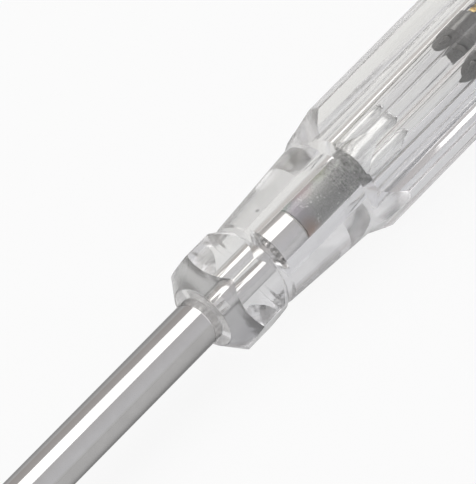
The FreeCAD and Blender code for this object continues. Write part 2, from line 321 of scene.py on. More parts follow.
def turned(
    name: str, outline: Outline, steps: int, corner: float = 0.0, corner_steps: int = 3,
    hollow: bool = False,
) -> Piece:
    """Turns a piece on the axis: half its outline is drawn, rounded and spun.

    Args:
        name: the piece's name.
        outline: (place, diameter) pairs; a solid is closed to the axis at both ends.
        steps: facets round the axis.
        corner: size of the rounding at every corner of the outline.
        corner_steps: facets of each rounding.
        hollow: the outline is a closed loop that stays off the axis, as of a ring or a tube.

    Returns:
        The turning.
    """
    points = [Vector((place, 0, diameter / 2)) for place, diameter in outline]
    if hollow:
        points.append(points[0])
    else:
        if points[0].z > 0:
            points.insert(0, Vector((points[0].x, 0, 0)))
        if points[-1].z > 0:
            points.append(Vector((points[-1].x, 0, 0)))
    piece = draw(name, points)
    if hollow:
        pick_all()
        merge()
    if corner:
        round_corners(piece, corner, lambda point: point.co.z > CLOSE, corner_steps)
    pick_all()
    bpy.ops.mesh.spin(steps=steps, angle=math.tau, center=ORIGIN, axis=AXIS)
    weld()
    return piece


def ring(
    name: str, node: str, hole: float, steps: int, corner: float, corner_steps: int = 3
) -> Piece:
    """Turns a plain ring as long and as wide as a CAD node.

    Args:
        name: the piece's name.
        node: the CAD node.
        hole: diameter of the hole.
        steps: facets round the axis.
        corner: size of the rounding of its edges.
        corner_steps: facets of each rounding.

    Returns:
        The ring.
    """
    size = span(node)
    outer = [(size.start, size.width), (size.end, size.width)]
    outline = [(size.start, hole), *outer, (size.end, hole)]
    return turned(name, outline, steps, corner, corner_steps, hollow=True)


def modify(piece: Piece, kind: str, **settings: object) -> None:
    """Adds a modifier and applies it.

    Args:
        piece: the piece.
        kind: the modifier's type.
        settings: its settings, by name.
    """
    take(piece)
    bpy.ops.object.modifier_add(type=kind)
    modifier = piece.modifiers[-1]
    for key, value in settings.items():
        setattr(modifier, key, value)
    bpy.ops.object.modifier_apply(modifier=modifier.name)


def combine(piece: Piece, other: Piece, left: Combine) -> Piece:
    """Joins, cuts or intersects a piece with another, which is used up.

    Args:
        piece: the piece that stays.
        other: the piece that is used up.
        left: what is left of them.

    Returns:
        The piece.
    """
    modify(piece, "BOOLEAN", operation=left.value, solver="EXACT", object=other)
    bpy.data.objects.remove(other)
    return piece


def join(*pieces: Piece) -> Piece:
    """Makes several pieces one.

    Args:
        pieces: the pieces; the first stays.

    Returns:
        The first piece.
    """
    clear_bench()
    for piece in pieces:
        piece.select_set(True)
    bpy.context.view_layer.objects.active = pieces[0]
    bpy.ops.object.join()
    return pieces[0]


def wire(name: str, path: Sequence[Vector], diameter: float, sides: int = 20) -> Piece:
    """Runs a round section along straight stretches.

    Args:
        name: the piece's name.
        path: corners of the wire's centre line.
        diameter: thickness of the wire.
        sides: facets round the wire.

    Returns:
        The wire.
    """
    piece = set_up(
        name, bpy.ops.mesh.primitive_circle_add, vertices=sides, radius=diameter / 2,
        fill_type="NGON", location=path[0],
        rotation=(path[1] - path[0]).to_track_quat("Z", "Y").to_euler(),
    )
    edit(piece)
    pick_all()
    for here, there in zip(path, path[1:]):
        pull(there - here)
    weld()
    return piece


def wind(piece: Piece, turns: float, pitch: float, steps: int) -> None:
    """Winds a flat section round the axis, in steps a turn; its ends stay open."""
    count = round(steps * turns)
    modify(
        piece, "SCREW", axis="X", angle=math.tau * turns, screw_offset=pitch * turns,
        steps=count, render_steps=count, use_merge_vertices=False,
    )


def coil(
    name: str, mean_d: float, wire_d: float, start: float, turns: float, pitch: float,
    begin: float = 0.0,
) -> Piece:
    """Winds a round wire round the axis.

    Args:
        name: the piece's name.
        mean_d: diameter of the wire's centre line.
        wire_d: thickness of the wire.
        start: place of the centre line's first point.
        turns: number of turns.
        pitch: advance of a turn.
        begin: turn at which it begins, from +Z.

    Returns:
        The coil, with open ends.
    """
    piece = set_up(
        name, bpy.ops.mesh.primitive_circle_add, vertices=WIRE_SIDES, radius=wire_d / 2,
        fill_type="NGON", location=radial(mean_d, 360 * begin, start),
        rotation=(math.pi / 2 + math.tau * begin, 0, 0),
    )
    wind(piece, turns, pitch, WIRE_STEPS)
    return piece


def finish_piece(piece: Piece, crease: float) -> None:
    """Shades a piece, brings it from millimetres to metres and leaves its object at the origin.

    Args:
        piece: the modelled piece.
        crease: angle in degrees above which an edge stays sharp.
    """
    take(piece)
    bpy.ops.object.shade_smooth_by_angle(angle=math.radians(crease), keep_sharp_edges=False)
    piece.scale = (MM, MM, MM)
    settle()


def cover(piece: Piece, finish: "Finish") -> None:
    """Gives a piece its material and the record's slot of it.

    Args:
        piece: the piece.
        finish: what it is made of.
    """
    piece.data.materials.clear()
    piece.data.materials.append(finish.material())


def dress(piece: Piece, finish: "Finish", body: str, *nodes: str, crease: float = 32.0) -> None:
    """Finishes a piece, gives it its material and its body, and hides the CAD nodes that it stands
    for.

    Args:
        piece: the modelled piece.
        finish: what it is made of.
        body: CAD body that it rides on.
        nodes: CAD nodes that it replaces.
        crease: angle in degrees above which an edge stays sharp.
    """
    finish_piece(piece, crease)
    cover(piece, finish)
    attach(piece, body)
    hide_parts(*nodes)
    faces = len(piece.data.polygons)
    LOG.info("%s: %d faces, %s, rides on %s", piece.name, faces, finish.slot, body)


# ------------------------------------------------------------------ finishes
class Lay(Enum):
    """Direction of fine marks, as how often they change per millimetre along X, Y and Z."""

    ROUND = (9.0, 0.35, 0.35)
    LONG = (0.12, 7.0, 7.0)
    PLAIN = (4.0, 4.0, 4.0)


class Wiring:
    """The nodes of a material or of the world, and the links between them."""

    def __init__(self, owner: bpy.types.ID, output: str = "ShaderNodeOutputMaterial") -> None:
        """Starts with only the output.

        Args:
            owner: the material or the world.
            output: type of its output node.
        """
        owner.use_nodes = True
        self.tree = owner.node_tree
        self.tree.nodes.clear()
        self.output = self.add(output)

    def feed(self, target: Socket, value: object) -> None:
        """Links a socket to an input, or sets the input to a value.

        Args:
            target: the input.
            value: a socket, a number, a vector or a colour.
        """
        if isinstance(value, Socket):
            self.tree.links.new(value, target)
        elif target.type == "RGBA":
            target.default_value = (*value, 1)
        else:
            target.default_value = value

    def add(self, kind: str, **values: object) -> bpy.types.Node:
        """Adds a node.

        Args:
            kind: the node's type.
            values: its settings, and its inputs by name with _ for a space.

        Returns:
            The node.
        """
        node = self.tree.nodes.new(kind)
        for key, value in values.items():
            if hasattr(node, key):
                setattr(node, key, value)
            else:
                self.feed(node.inputs[key.replace("_", " ")], value)
        return node

    def show(self, shader: bpy.types.Node) -> None:
        """Makes a shader the surface."""
        self.feed(self.output.inputs["Surface"], shader.outputs[0])

    def choose(self, share: Socket, first: bpy.types.Node, second: bpy.types.Node) -> None:
        """Makes the surface one shader, and another by a share.

        Args:
            share: share of the other.
            first: the one.
            second: the other.
        """
        mix = self.add("ShaderNodeMixShader", Fac=share)
        self.feed(mix.inputs[1], first.outputs[0])
        self.feed(mix.inputs[2], second.outputs[0])
        self.show(mix)

    def math(self, operation: str, *values: object) -> Socket:
        """Calculates with numbers.

        Args:
            operation: the node's operation.
            values: sockets or numbers.

        Returns:
            The result.
        """
        node = self.add("ShaderNodeMath", operation=operation)
        for target, value in zip(node.inputs, values):
            self.feed(target, value)
        return node.outputs["Value"]

    def vector(self, operation: str, *values: object) -> Socket:
        """Calculates with vectors.

        Args:
            operation: the node's operation.
            values: sockets or vectors.

        Returns:
            The result, a number for a length, a distance or a dot product.
        """
        node = self.add("ShaderNodeVectorMath", operation=operation)
        for target, value in zip(node.inputs, values):
            self.feed(target, value)
        number = operation in ("LENGTH", "DISTANCE", "DOT_PRODUCT")
        return node.outputs["Value" if number else "Vector"]

    def part(self, source: Socket, name: str) -> Socket:
        """One part of a vector, "X", "Y" or "Z"."""
        return self.add("ShaderNodeSeparateXYZ", Vector=source).outputs[name]

    def place(self) -> Socket:
        """Object coordinates, in metres."""
        return self.add("ShaderNodeTexCoord").outputs["Object"]

    def behind(self, place: float) -> Socket:
        """1 behind a place along the axis, in millimetres, and 0 in front of it."""
        return self.math("GREATER_THAN", self.part(self.place(), "X"), place * MM)

    def away(self, point: Vector) -> Socket:
        """Distance in metres from a point in millimetres."""
        return self.vector("DISTANCE", self.place(), point * MM)

    def towards(self, degrees: float) -> Socket:
        """How far from the axis towards a side, in metres; the side is from +Z towards -Y."""
        return self.vector("DOT_PRODUCT", self.place(), radial(UNIT_D, degrees))

    def spread(
        self, source: Socket, low: float, high: float, start: float = 0.3, end: float = 0.7
    ) -> Socket:
        """Low up to the start, high from the end; as it stands, over the middle of a noise."""
        return self.add(
            "ShaderNodeMapRange", Value=source, From_Min=start, From_Max=end, To_Min=low,
            To_Max=high,
        ).outputs["Result"]

    def noise(
        self, scale: float | Sequence[float], detail: float = 3.0, rough: float = 0.55
    ) -> Socket:
        """Noise over the piece.

        Args:
            scale: how often it changes per millimetre, or how often along X, Y and Z.
            detail: octaves.
            rough: weight of the finer octaves.

        Returns:
            The noise, 0 to 1.
        """
        parts = (scale,) * 3 if isinstance(scale, float) else scale
        mapping = self.add(
            "ShaderNodeMapping", Scale=[part / MM for part in parts], Vector=self.place()
        )
        return self.add(
            "ShaderNodeTexNoise", Vector=mapping.outputs["Vector"], Scale=1.0, Detail=detail,
            Roughness=rough,
        ).outputs["Fac"]

    def blend(self, share: object, low: object, high: object) -> Socket:
        """Mixes two colours, or two numbers if the first is one.

        Args:
            share: share of the second.
            low: the first, or its socket.
            high: the second, or its socket.

        Returns:
            The result.
        """
        number = isinstance(low, float) or getattr(low, "type", "") == "VALUE"
        kind = "FLOAT" if number else "RGBA"
        mix = self.add("ShaderNodeMix", data_type=kind, Factor=share, A=low, B=high)
        return mix.outputs["Result"]

    def bump(self, height: Socket, depth: float, relief: float) -> Socket:
        """Normal that follows a height of a depth in millimetres and shows it by a relief."""
        return self.add(
            "ShaderNodeBump", Strength=relief, Distance=depth * MM, Height=height
        ).outputs["Normal"]


def shade(colour: Colour, factor: float) -> Colour:
    """A colour made darker or lighter."""
    return tuple(min(1.0, part * factor) for part in colour)


@dataclass(frozen=True)
class Finish:
    """What a piece is made of.

    Args:
        slot: the record's material slot.
        colour: base colour.
        roughness: middle roughness.
        uneven: lowest and highest roughness, as shares of the middle one.
        depth: depth of the marks on the surface, in millimetres.
        relief: how strongly the marks show.
    """

    slot: str
    colour: Colour
    roughness: float
    uneven: tuple[float, float] = (0.85, 1.15)
    depth: float = 0.006
    relief: float = 0.5

    def build(self, w: Wiring) -> None:
        """Builds the shader out of the material's nodes."""
        raise NotImplementedError

    def gloss(self, w: Wiring, marks: Socket) -> Socket:
        """Roughness that follows the marks."""
        low, high = self.uneven
        return w.spread(marks, self.roughness * low, self.roughness * high)

    def opaque(self, w: Wiring, colour: Socket, marks: Socket, **values: object) -> None:
        """Makes the surface an opaque shader.

        Args:
            w: the material's nodes.
            colour: its colour.
            marks: height of its marks.
            values: the shader's other inputs, by name with _ for a space.
        """
        w.show(w.add(
            "ShaderNodeBsdfPrincipled", Base_Color=colour, Roughness=self.gloss(w, marks),
            Normal=w.bump(marks, self.depth, self.relief), **values,
        ))

    def material(self) -> bpy.types.Material:
        """Makes the material once.

        Returns:
            The material.
        """
        name = type(self).__name__.lower() + "_" + self.slot
        if name not in bpy.data.materials:
            self.build(Wiring(bpy.data.materials.new(name)))
        return bpy.data.materials[name]


@dataclass(frozen=True)
class Metal(Finish):
    """Bare or plated metal with fine tool marks.

    Args:
        lay: direction of the marks.
        stain: share by which patches are darker.
        stain_scale: how often the patches change per millimetre.
        rim: how strongly it reflects at the lowest angles.
        painted_light_behind: place behind which the colour is made brighter, in millimetres, and
            how much brighter it is; this is painted light on the metal inside the handle.
    """

    uneven: tuple[float, float] = (0.75, 1.3)
    depth: float = 0.004
    lay: Lay = Lay.ROUND
    stain: float = 0.12
    stain_scale: float = 0.5
    rim: float = 0.5
    painted_light_behind: tuple[float, float] | None = None

    def build(self, w: Wiring) -> None:
        """Builds the shader.

        Args:
            w: the material's nodes.
        """
        patches = w.spread(w.noise(self.stain_scale, detail=4), 0, 1)
        marks = w.noise(self.lay.value, detail=4, rough=0.7)
        colour = w.blend(patches, shade(self.colour, 1 - self.stain), self.colour)
        if self.painted_light_behind:
            # painted light: the metal behind this place, inside the handle, is made brighter
            place, brighter = self.painted_light_behind
            colour = w.blend(w.behind(place), colour, shade(self.colour, brighter))
        self.opaque(w, colour, marks, Metallic=1.0, Specular_Tint=(self.rim,) * 3)


@dataclass(frozen=True)
class Patch:
    """Soft round patch on or under a surface.

    Args:
        place: its middle along the axis, in millimetres.
        degrees: its middle round the axis, from +Z towards -Y.
        reach: how far it spreads, in millimetres.
        colour: its colour.
    """

    place: float
    degrees: float
    reach: float
    colour: Colour


@dataclass(frozen=True)
class Chromate(Finish):
    """Zinc plate under a thin chromate film that shimmers in patches round and along the piece,
    with painted light on one side and painted shade in the knurl's pits.

    Args:
        patches: the film's patches.
        around_d: diameter of the circle that the patches' middles lie on, in millimetres.
        drift: how often the film's strength changes per millimetre, and its lowest share.
        grain: how often the grain changes per millimetre.
        shades: darkest and lightest grain, as shares of the base colour.
        painted_lit_side: middle of the side with painted light, in degrees from +Z towards -Y.
        painted_shade_share: brightness of the other side, as a share; this is painted shade.
        painted_light_turn: where the painted light turns to the painted shade, in millimetres from
            the axis.
        knurl_start: behind this place, in millimetres, the film is worn off the knurl's points.
        knurl: how often the knurl's points change per millimetre along X, Y and Z.
        painted_pit_shade: where in the knurl's noise the painted shade of its pits begins and ends,
            and how strong it is.
        points: where in it the worn points begin and end, and how bright they are.
        fleck_scale: how often bright flecks change per millimetre.
        flecks: where in that noise a fleck begins and is full, and how bright it is.
        pit_shade_colour: colour of the painted shade in the pits.
        bare: colour of flecks and worn points.
    """

    uneven: tuple[float, float] = (0.85, 1.2)
    depth: float = 0.012
    relief: float = 0.4
    patches: tuple[Patch, ...] = ()
    around_d: float = 5.9
    drift: tuple[float, float] = (0.5, 0.8)
    grain: float = 4.0
    shades: tuple[float, float] = (0.72, 1.25)
    painted_lit_side: float = 45.0
    painted_shade_share: float = 0.6
    painted_light_turn: tuple[float, float] = (1.003, 2.301)
    knurl_start: float = KNURL_START
    knurl: tuple[float, float, float] = (2.8, 2.0, 2.0)
    painted_pit_shade: tuple[float, float, float] = (0.36, 0.48, 0.55)
    points: tuple[float, float, float] = (0.54, 0.64, 0.36)
    fleck_scale: float = 1.7
    flecks: tuple[float, float, float] = (0.655, 0.71, 0.6)
    pit_shade_colour: Colour = (0.12, 0.12, 0.12)
    bare: Colour = (0.8, 0.8, 0.8)

    def build(self, w: Wiring) -> None:
        """Builds the shader.

        Args:
            w: the material's nodes.
        """
        grain = w.noise(self.grain, detail=4, rough=0.65)
        dark, light = (shade(self.colour, share) for share in self.shades)
        sides = [edge * MM for edge in self.painted_light_turn]
        # painted light and shade: one side of the holder lighter, the other darker
        side = w.spread(w.towards(self.painted_lit_side), self.painted_shade_share, 1, *sides)
        colour = w.vector("MULTIPLY", w.blend(w.spread(grain, 0, 1), dark, light), side)
        drift = w.spread(w.noise(self.drift[0], detail=2), self.drift[1], 1)
        for patch in self.patches:
            away = w.away(radial(self.around_d, patch.degrees, patch.place))
            share = w.math("MULTIPLY", w.spread(away, 1, 0, 0, patch.reach * MM), drift)
            colour = w.blend(share, colour, patch.colour)
        knurled = w.behind(self.knurl_start)
        knurl = w.noise(self.knurl, detail=3, rough=0.62)
        # painted shade: the knurl's pits are darkened
        start, end, share = self.painted_pit_shade
        painted_pit_shade = w.math("MULTIPLY", knurled, w.spread(knurl, share, 0, start, end))
        colour = w.blend(painted_pit_shade, colour, self.pit_shade_colour)
        start, end, share = self.points
        worn = w.math("MULTIPLY", knurled, w.spread(knurl, 0, share, start, end))
        start, end, share = self.flecks
        flecks = w.spread(w.noise(self.fleck_scale, detail=1), 0, share, start, end)
        colour = w.blend(w.math("MAXIMUM", flecks, worn), colour, self.bare)
        self.opaque(w, colour, grain, Metallic=1.0)


@dataclass(frozen=True)
class Solid(Finish):
    """Opaque plastic, rubber, nylon or glass with a moulded grain.

    Args:
        grain: how often the grain changes per millimetre.
        variation: share by which patches are darker.
        patch_scale: how often the patches change per millimetre.
    """

    relief: float = 0.6
    grain: float = 6.0
    variation: float = 0.15
    patch_scale: float = 0.3

    def build(self, w: Wiring) -> None:
        """Builds the shader.

        Args:
            w: the material's nodes.
        """
        patches = w.spread(w.noise(self.patch_scale), 0, 1)
        colour = w.blend(patches, shade(self.colour, 1 - self.variation), self.colour)
        self.opaque(w, colour, w.noise(self.grain, rough=0.6))


@dataclass(frozen=True)
class Clear(Finish):
    """Clear plastic or glass that lets the lamp through.

    Args:
        ior: refractive index.
        streak: how often the drawn streaks change per millimetre along X, Y and Z.
        edge: colour where the surface is seen at a low angle; this is painted shade along the
            outlines.
        edge_from: where, from 0 for square on to 1 for edge on, that colour begins and is full.
        density: how strongly the body absorbs light, per metre; none at 0.
        body: colour of the body where it absorbs.
        coat: weight of a thin bright coat that picks up the lamp.
        coat_ior: refractive index of the coat.
    """

    uneven: tuple[float, float] = (0.6, 1.6)
    depth: float = 0.01
    ior: float = 1.49
    streak: tuple[float, float, float] = (0.05, 1.6, 1.6)
    edge: Colour = (0.6, 0.6, 0.6)
    edge_from: tuple[float, float] = (0.72, 0.92)
    density: float = 0.0
    body: Colour = (0.5, 0.5, 0.5)
    coat: float = 0.0
    coat_ior: float = 2.6

    def tint(self, w: Wiring, colour: object) -> Socket:
        """Colour of the surface, which turns to the edge's where it is seen at a low angle: painted
        shade along the outlines.
        """
        facing = w.add("ShaderNodeLayerWeight", Blend=0.5).outputs["Facing"]
        return w.blend(w.spread(facing, 0, 1, *self.edge_from), colour, self.edge)

    def wire_up(
        self, w: Wiring, colour: Socket, rough: Socket, streaks: Socket, clear: object
    ) -> None:
        """Builds the shader out of its parts; shadows are as pale as the colour's square root.

        Args:
            w: the material's nodes.
            colour: the surface's colour.
            rough: its roughness.
            streaks: height of the drawn streaks.
            clear: share that lets light through.
        """
        shader = w.add(
            "ShaderNodeBsdfPrincipled", Base_Color=colour, Roughness=rough,
            Transmission_Weight=clear, IOR=self.ior, Coat_Weight=self.coat, Coat_IOR=self.coat_ior,
            Normal=w.bump(streaks, self.depth, self.relief),
        )
        pale = tuple(math.sqrt(part) for part in self.colour)
        shadow = w.add("ShaderNodeLightPath").outputs["Is Shadow Ray"]
        w.choose(shadow, shader, w.add("ShaderNodeBsdfTransparent", Color=pale))
        if self.density:
            absorb = w.add("ShaderNodeVolumeAbsorption", Density=self.density, Color=self.body)
            w.feed(w.output.inputs["Volume"], absorb.outputs["Volume"])

    def build(self, w: Wiring) -> None:
        """Builds the shader.

        Args:
            w: the material's nodes.
        """
        streaks = w.noise(self.streak, rough=0.5)
        self.wire_up(w, self.tint(w, self.colour), self.gloss(w, streaks), streaks, 1.0)


@dataclass(frozen=True)
class Handled(Clear):
    """Clear handle plastic: grey outer skin, clean bores, cut front faces, frosted thread.

    Args:
        waves: how often the surface's slow waves change per millimetre along X, Y and Z.
        wave_depth: how much deeper the waves are than the streaks.
        shady: colour of the skin on the shaded side, which is painted shade; `colour` is the other
            side's.
        shady_side: direction of that side, in degrees from +Z towards -Y.
        side_blend: within this distance of the middle, in millimetres, one side turns to the other.
        bore_d: surfaces inside this diameter are bores, in millimetres.
        cut_end: the cut front faces lie in front of this place, in millimetres.
        cut_lean: how far forward a cut face points at least, from 0 to 1.
        face_lean: how far forward the flat front face points at least.
        cut: colours of the front chamfer, on the plain side and on the shaded one; this is painted
            shade, deeper on the shaded side.
        face: colours of the flat front face, on the plain side and on the shaded one; the lighter
            colour on the shaded side is painted light.
        cut_rough: roughness of the chamfer and of the flat front face.
        clear_half: half the width of the chamfer's clear strip, and where it ends, in millimetres.
        thread_start: behind this place the bore's surface is a thread, in millimetres.
        end: the rear face, in millimetres.
        frost: how little the front face lets through, and how little thread and rear face do.
        bands: start and end, in millimetres, and roughness of the less smooth bands.
        bubble: small dark bubble under the skin.
        bubble_d: diameter of the circle that it lies on, in millimetres.
        bubble_dark: how dark it is.
    """

    waves: tuple[float, float, float] = (0.12, 0.25, 0.25)
    wave_depth: float = 4.0
    shady: Colour = (0.62, 0.62, 0.64)
    shady_side: float = 125.0
    side_blend: float = 6.0
    bore_d: float = 13.2
    cut_end: float = 4.0
    cut_lean: float = 0.5
    face_lean: float = 0.95
    # painted shade on the front chamfer, and painted light on the front face's shaded side
    cut: tuple[Colour, Colour] = ((0.42, 0.42, 0.41), (0.19, 0.19, 0.2))
    face: tuple[Colour, Colour] = ((0.85, 0.85, 0.84), (1.0, 1.0, 1.0))
    cut_rough: float = 0.16
    clear_half: tuple[float, float] = (1.5, 2.1)
    thread_start: float = 76.0
    end: float = 87.8
    frost: tuple[float, float] = (0.25, 0.8)
    bands: tuple[tuple[float, float, float], ...] = ((8.3, 12.1, 0.14), (29.0, 35.2, 0.12))
    bubble: Patch = Patch(15.8, -8.6, 0.3, (0.1, 0.1, 0.1))
    bubble_d: float = 15.4
    bubble_dark: float = 0.8

    def cut_faces(self, w: Wiring) -> tuple[Socket, Socket]:
        """Tells the cut front faces from the rest by their place and their slope.

        Args:
            w: the material's nodes.

        Returns:
            1 on the chamfer beside its clear strip, and 1 on the flat front face.
        """
        normal = w.add("ShaderNodeNewGeometry").outputs["True Normal"]
        ahead = w.math("MULTIPLY", w.part(normal, "X"), -1.0)
        front = w.math("LESS_THAN", w.part(w.place(), "X"), self.cut_end * MM)
        cut, face = (
            w.math("MULTIPLY", w.math("GREATER_THAN", ahead, lean), front)
            for lean in (self.cut_lean, self.face_lean)
        )
        side = w.math("ABSOLUTE", w.towards(self.shady_side))
        beside = w.spread(side, 0, 1, *(half * MM for half in self.clear_half))
        return w.math("MULTIPLY", w.math("SUBTRACT", cut, face), beside), face

    def colouring(self, w: Wiring, inside: Socket, chamfer: Socket, face: Socket) -> Socket:
        """Colours the skin with its bubble and the painted shade of one side, the bores, and the
        cut faces with painted shade and light.

        Args:
            w: the material's nodes.
            inside: 1 in the bores.
            chamfer: 1 on the front chamfer.
            face: 1 on the flat front face.

        Returns:
            The surface's colour.
        """
        # painted shade on one side of the skin, and painted light on that side of the front face
        painted_side = w.spread(w.towards(self.shady_side), 0, 1, -self.side_blend * MM, self.side_blend * MM)
        spot = self.bubble
        away = w.away(radial(self.bubble_d, spot.degrees, spot.place))
        reach = spot.reach * MM
        bubble = w.spread(away, self.bubble_dark, 0, reach / 2, reach * 3 / 2)
        skin = self.tint(w, w.blend(painted_side, self.colour, self.shady))
        colour = w.blend(inside, w.blend(bubble, skin, spot.colour), (1.0, 1.0, 1.0))
        # painted light: the front face is lighter on the shaded side
        colour = w.blend(face, colour, w.blend(painted_side, *self.face))
        # painted shade: the front chamfer is darkened
        return w.blend(chamfer, colour, w.blend(painted_side, *self.cut))

    def roughening(self, w: Wiring, fine: Socket, inside: Socket, cut: Socket) -> Socket:
        """Roughens the skin by its streaks and in its bands, and the cut faces.

        Args:
            w: the material's nodes.
            fine: height of the fine streaks.
            inside: 1 in the bores.
            cut: 1 on the cut faces.

        Returns:
            The surface's roughness.
        """
        rough = self.gloss(w, fine)
        along, outside = w.part(w.place(), "X"), w.math("SUBTRACT", 1.0, inside)
        for start, end, value in self.bands:
            band = w.math("COMPARE", along, (start + end) / 2 * MM, (end - start) / 2 * MM)
            rough = w.blend(w.math("MULTIPLY", band, outside), rough, value)
        return w.blend(cut, rough, self.cut_rough)

    def build(self, w: Wiring) -> None:
        """Builds the shader.

        Args:
            w: the material's nodes.
        """
        fine = w.noise(self.streak, rough=0.5)
        streaks = w.math("MULTIPLY_ADD", w.noise(self.waves, detail=1), self.wave_depth, fine)
        reach = w.vector("LENGTH", w.vector("MULTIPLY", w.place(), (0, 1, 1)))
        inside = w.math("LESS_THAN", reach, self.bore_d / 2 * MM)
        chamfer, face = self.cut_faces(w)
        rough = self.roughening(w, fine, inside, w.math("MAXIMUM", chamfer, face))
        thread = w.math("MULTIPLY", inside, w.behind(self.thread_start))
        back = w.math("MAXIMUM", thread, w.behind(self.end))
        frosts = [w.math("MULTIPLY", *pair) for pair in zip((face, back), self.frost)]
        clear = w.math("SUBTRACT", 1.0, w.math("MAXIMUM", *frosts))
        self.wire_up(w, self.colouring(w, inside, chamfer, face), rough, streaks, clear)


# dark edge colour: painted shade along the handle's outlines
CLEAR_PLASTIC = Handled(
    "clear_plastic", (0.72, 0.715, 0.695), 0.05, edge=(0.1, 0.1, 0.1), density=1.0
)
LAMP_GLASS = Clear(
    "lamp_glass", (0.985, 0.99, 0.985), 0.01, depth=0.004, ior=1.5, streak=(0.3, 0.3, 0.3), coat=1.0
)
# the chrome inside the handle gets painted light
CHROME = Metal(
    "chrome", (0.52, 0.515, 0.51), 0.07, depth=0.0012, lay=Lay.LONG, stain=0.06, painted_light_behind=(-1.5, 1.5)
)
ZINC_PLATE = Chromate(
    "zinc_plate", (0.43, 0.435, 0.425), 0.6,
    patches=(
        Patch(21.0, 5.0, 3.2, (0.36, 0.33, 0.38)),
        Patch(20.4, -42.0, 2.4, (0.14, 0.34, 0.22)),
        Patch(24.2, -42.0, 3.0, (0.47, 0.28, 0.31)),
        Patch(28.0, -40.0, 2.6, (0.38, 0.44, 0.24)),
        Patch(20.6, 85.0, 2.6, (0.45, 0.29, 0.22)),
    ),
)
HARDENED_STEEL = Metal("hardened_steel", (0.56, 0.56, 0.56), 0.2)
BRASS = Metal("brass", (0.75, 0.58, 0.28), 0.28)
SOLDER = Metal("solder", (0.55, 0.55, 0.56), 0.35, depth=0.01, lay=Lay.PLAIN)
NICKEL_PLATE = Metal("nickel_plate", (0.6, 0.58, 0.54), 0.2)
NICKEL_WIRE = Metal("nickel_wire", (0.5, 0.49, 0.47), 0.3, lay=Lay.LONG)
DARK_NICKEL = Metal("dark_nickel", (0.22, 0.22, 0.215), 0.32)
TUNGSTEN = Metal("tungsten", (0.3, 0.3, 0.31), 0.5, lay=Lay.PLAIN)
SPRING_STEEL = Metal("spring_steel", (0.48, 0.48, 0.49), 0.22, lay=Lay.PLAIN)
ZINC_WASHER = Metal("zinc_plate", (0.45, 0.46, 0.44), 0.35)
WHITE_NYLON = Solid("white_nylon", (0.8, 0.79, 0.75), 0.5)
BLACK_GLASS = Solid("black_glass", (0.02, 0.02, 0.022), 0.12, depth=0.003)
PALE_PLASTIC = Solid("pale_plastic", (0.74, 0.73, 0.69), 0.38, variation=0.05)
PALE_RUBBER = Solid("pale_rubber", (0.88, 0.87, 0.84), 0.6, depth=0.01, grain=9.0, variation=0.03)
BLACK_RUBBER = Solid("black_rubber", (0.02, 0.02, 0.02), 0.62, depth=0.01, grain=9.0)


# ------------------------------------------------------------------ forms shared by handle and cap
@dataclass(frozen=True)
class FlutedBar:
    """Bar of six ridges with shallow round flutes between them.

    Args:
        ridge_d: across the ridge tops.
        valley_d: across the bottoms of the flutes.
        ridge_top: width of a ridge's top.
        edge: rounding of the ridges' edges.
        roll: first ridge, in degrees from +Z.
        sides: number of ridges.
        flute_steps: facets of a flute.
        top_steps: facets of a ridge's top.
        edge_steps: facets of an edge.
    """

    ridge_d: float
    valley_d: float
    ridge_top: float
    edge: float = 0.3
    roll: float = 30.0
    sides: int = 6
    flute_steps: int = 18
    top_steps: int = 4
    edge_steps: int = 4

    def make(self, name: str, start: float, end: float) -> Piece:
        """Draws a flute and a ridge, repeats them round the axis and pulls the section along.

        Args:
            name: the piece's name.
            start: front end.
            end: rear end.

        Returns:
            The bar.
        """
        step = 360 / self.sides
        half_top = math.degrees(math.asin(self.ridge_top / self.ridge_d))
        half_flute = math.radians(step / 2 - half_top)
        half_chord = self.ridge_d / 2 * math.sin(half_flute)
        rise = self.ridge_d / 2 * math.cos(half_flute) - self.valley_d / 2
        radius = (half_chord**2 + rise**2) / (2 * rise)
        sweep = 2 * math.asin(half_chord / radius)
        hub = (start, 0, 0)
        centre = radial(self.valley_d + 2 * radius, self.roll + step / 2, start)
        piece = start_point(name, radial(self.ridge_d, self.roll + half_top, start))
        bpy.ops.mesh.spin(steps=self.flute_steps, angle=sweep, center=centre, axis=AXIS)
        top = -math.radians(2 * half_top)
        bpy.ops.mesh.spin(steps=self.top_steps, angle=top, center=hub, axis=AXIS)
        pick_all()
        bpy.ops.mesh.spin(steps=self.sides, dupli=True, angle=math.tau, center=hub, axis=AXIS)
        pick_all()
        merge()
        corners = [
            radial(self.ridge_d, self.roll + step * i + side * half_top, start)
            for i in range(self.sides)
            for side in (-1, 1)
        ]

        def at_corner(point: bmesh.types.BMVert) -> bool:
            """Whether a point is a corner of a ridge."""
            return any((point.co - corner).length < NEAR for corner in corners)

        round_corners(piece, self.edge, at_corner, self.edge_steps)
        pick_all()
        bpy.ops.mesh.edge_face_add()
        pull(Vector((end - start, 0, 0)))
        weld()
        return piece


@dataclass(frozen=True)
class Thread:
    """Screw thread of the handle's mouth and the cap's spigot.

    Args:
        pitch: advance of a turn.
        inner_d: diameter of the nut's crests.
        outer_d: diameter at the bottom of its grooves.
        flat: width of half a crest, as a share of the pitch.
    """

    pitch: float = 1.25
    inner_d: float = 12.0
    outer_d: float = 12.9
    flat: float = 0.15

    def grooves(self, start: float, end: float) -> list[tuple[float, float]]:
        """Outline of a threaded bore, as V grooves.

        Args:
            start: where the thread begins.
            end: where it ends.

        Returns:
            (place, diameter) pairs.
        """
        outline = []
        count = int((end - start) / self.pitch)
        for i in range(count):
            for share, diameter in (
                (0, self.inner_d), (self.flat, self.inner_d), (0.5, self.outer_d),
                (1 - self.flat, self.inner_d),
            ):
                outline.append((start + (i + share) * self.pitch, diameter))
        return outline + [(start + count * self.pitch, self.inner_d), (end, self.inner_d)]


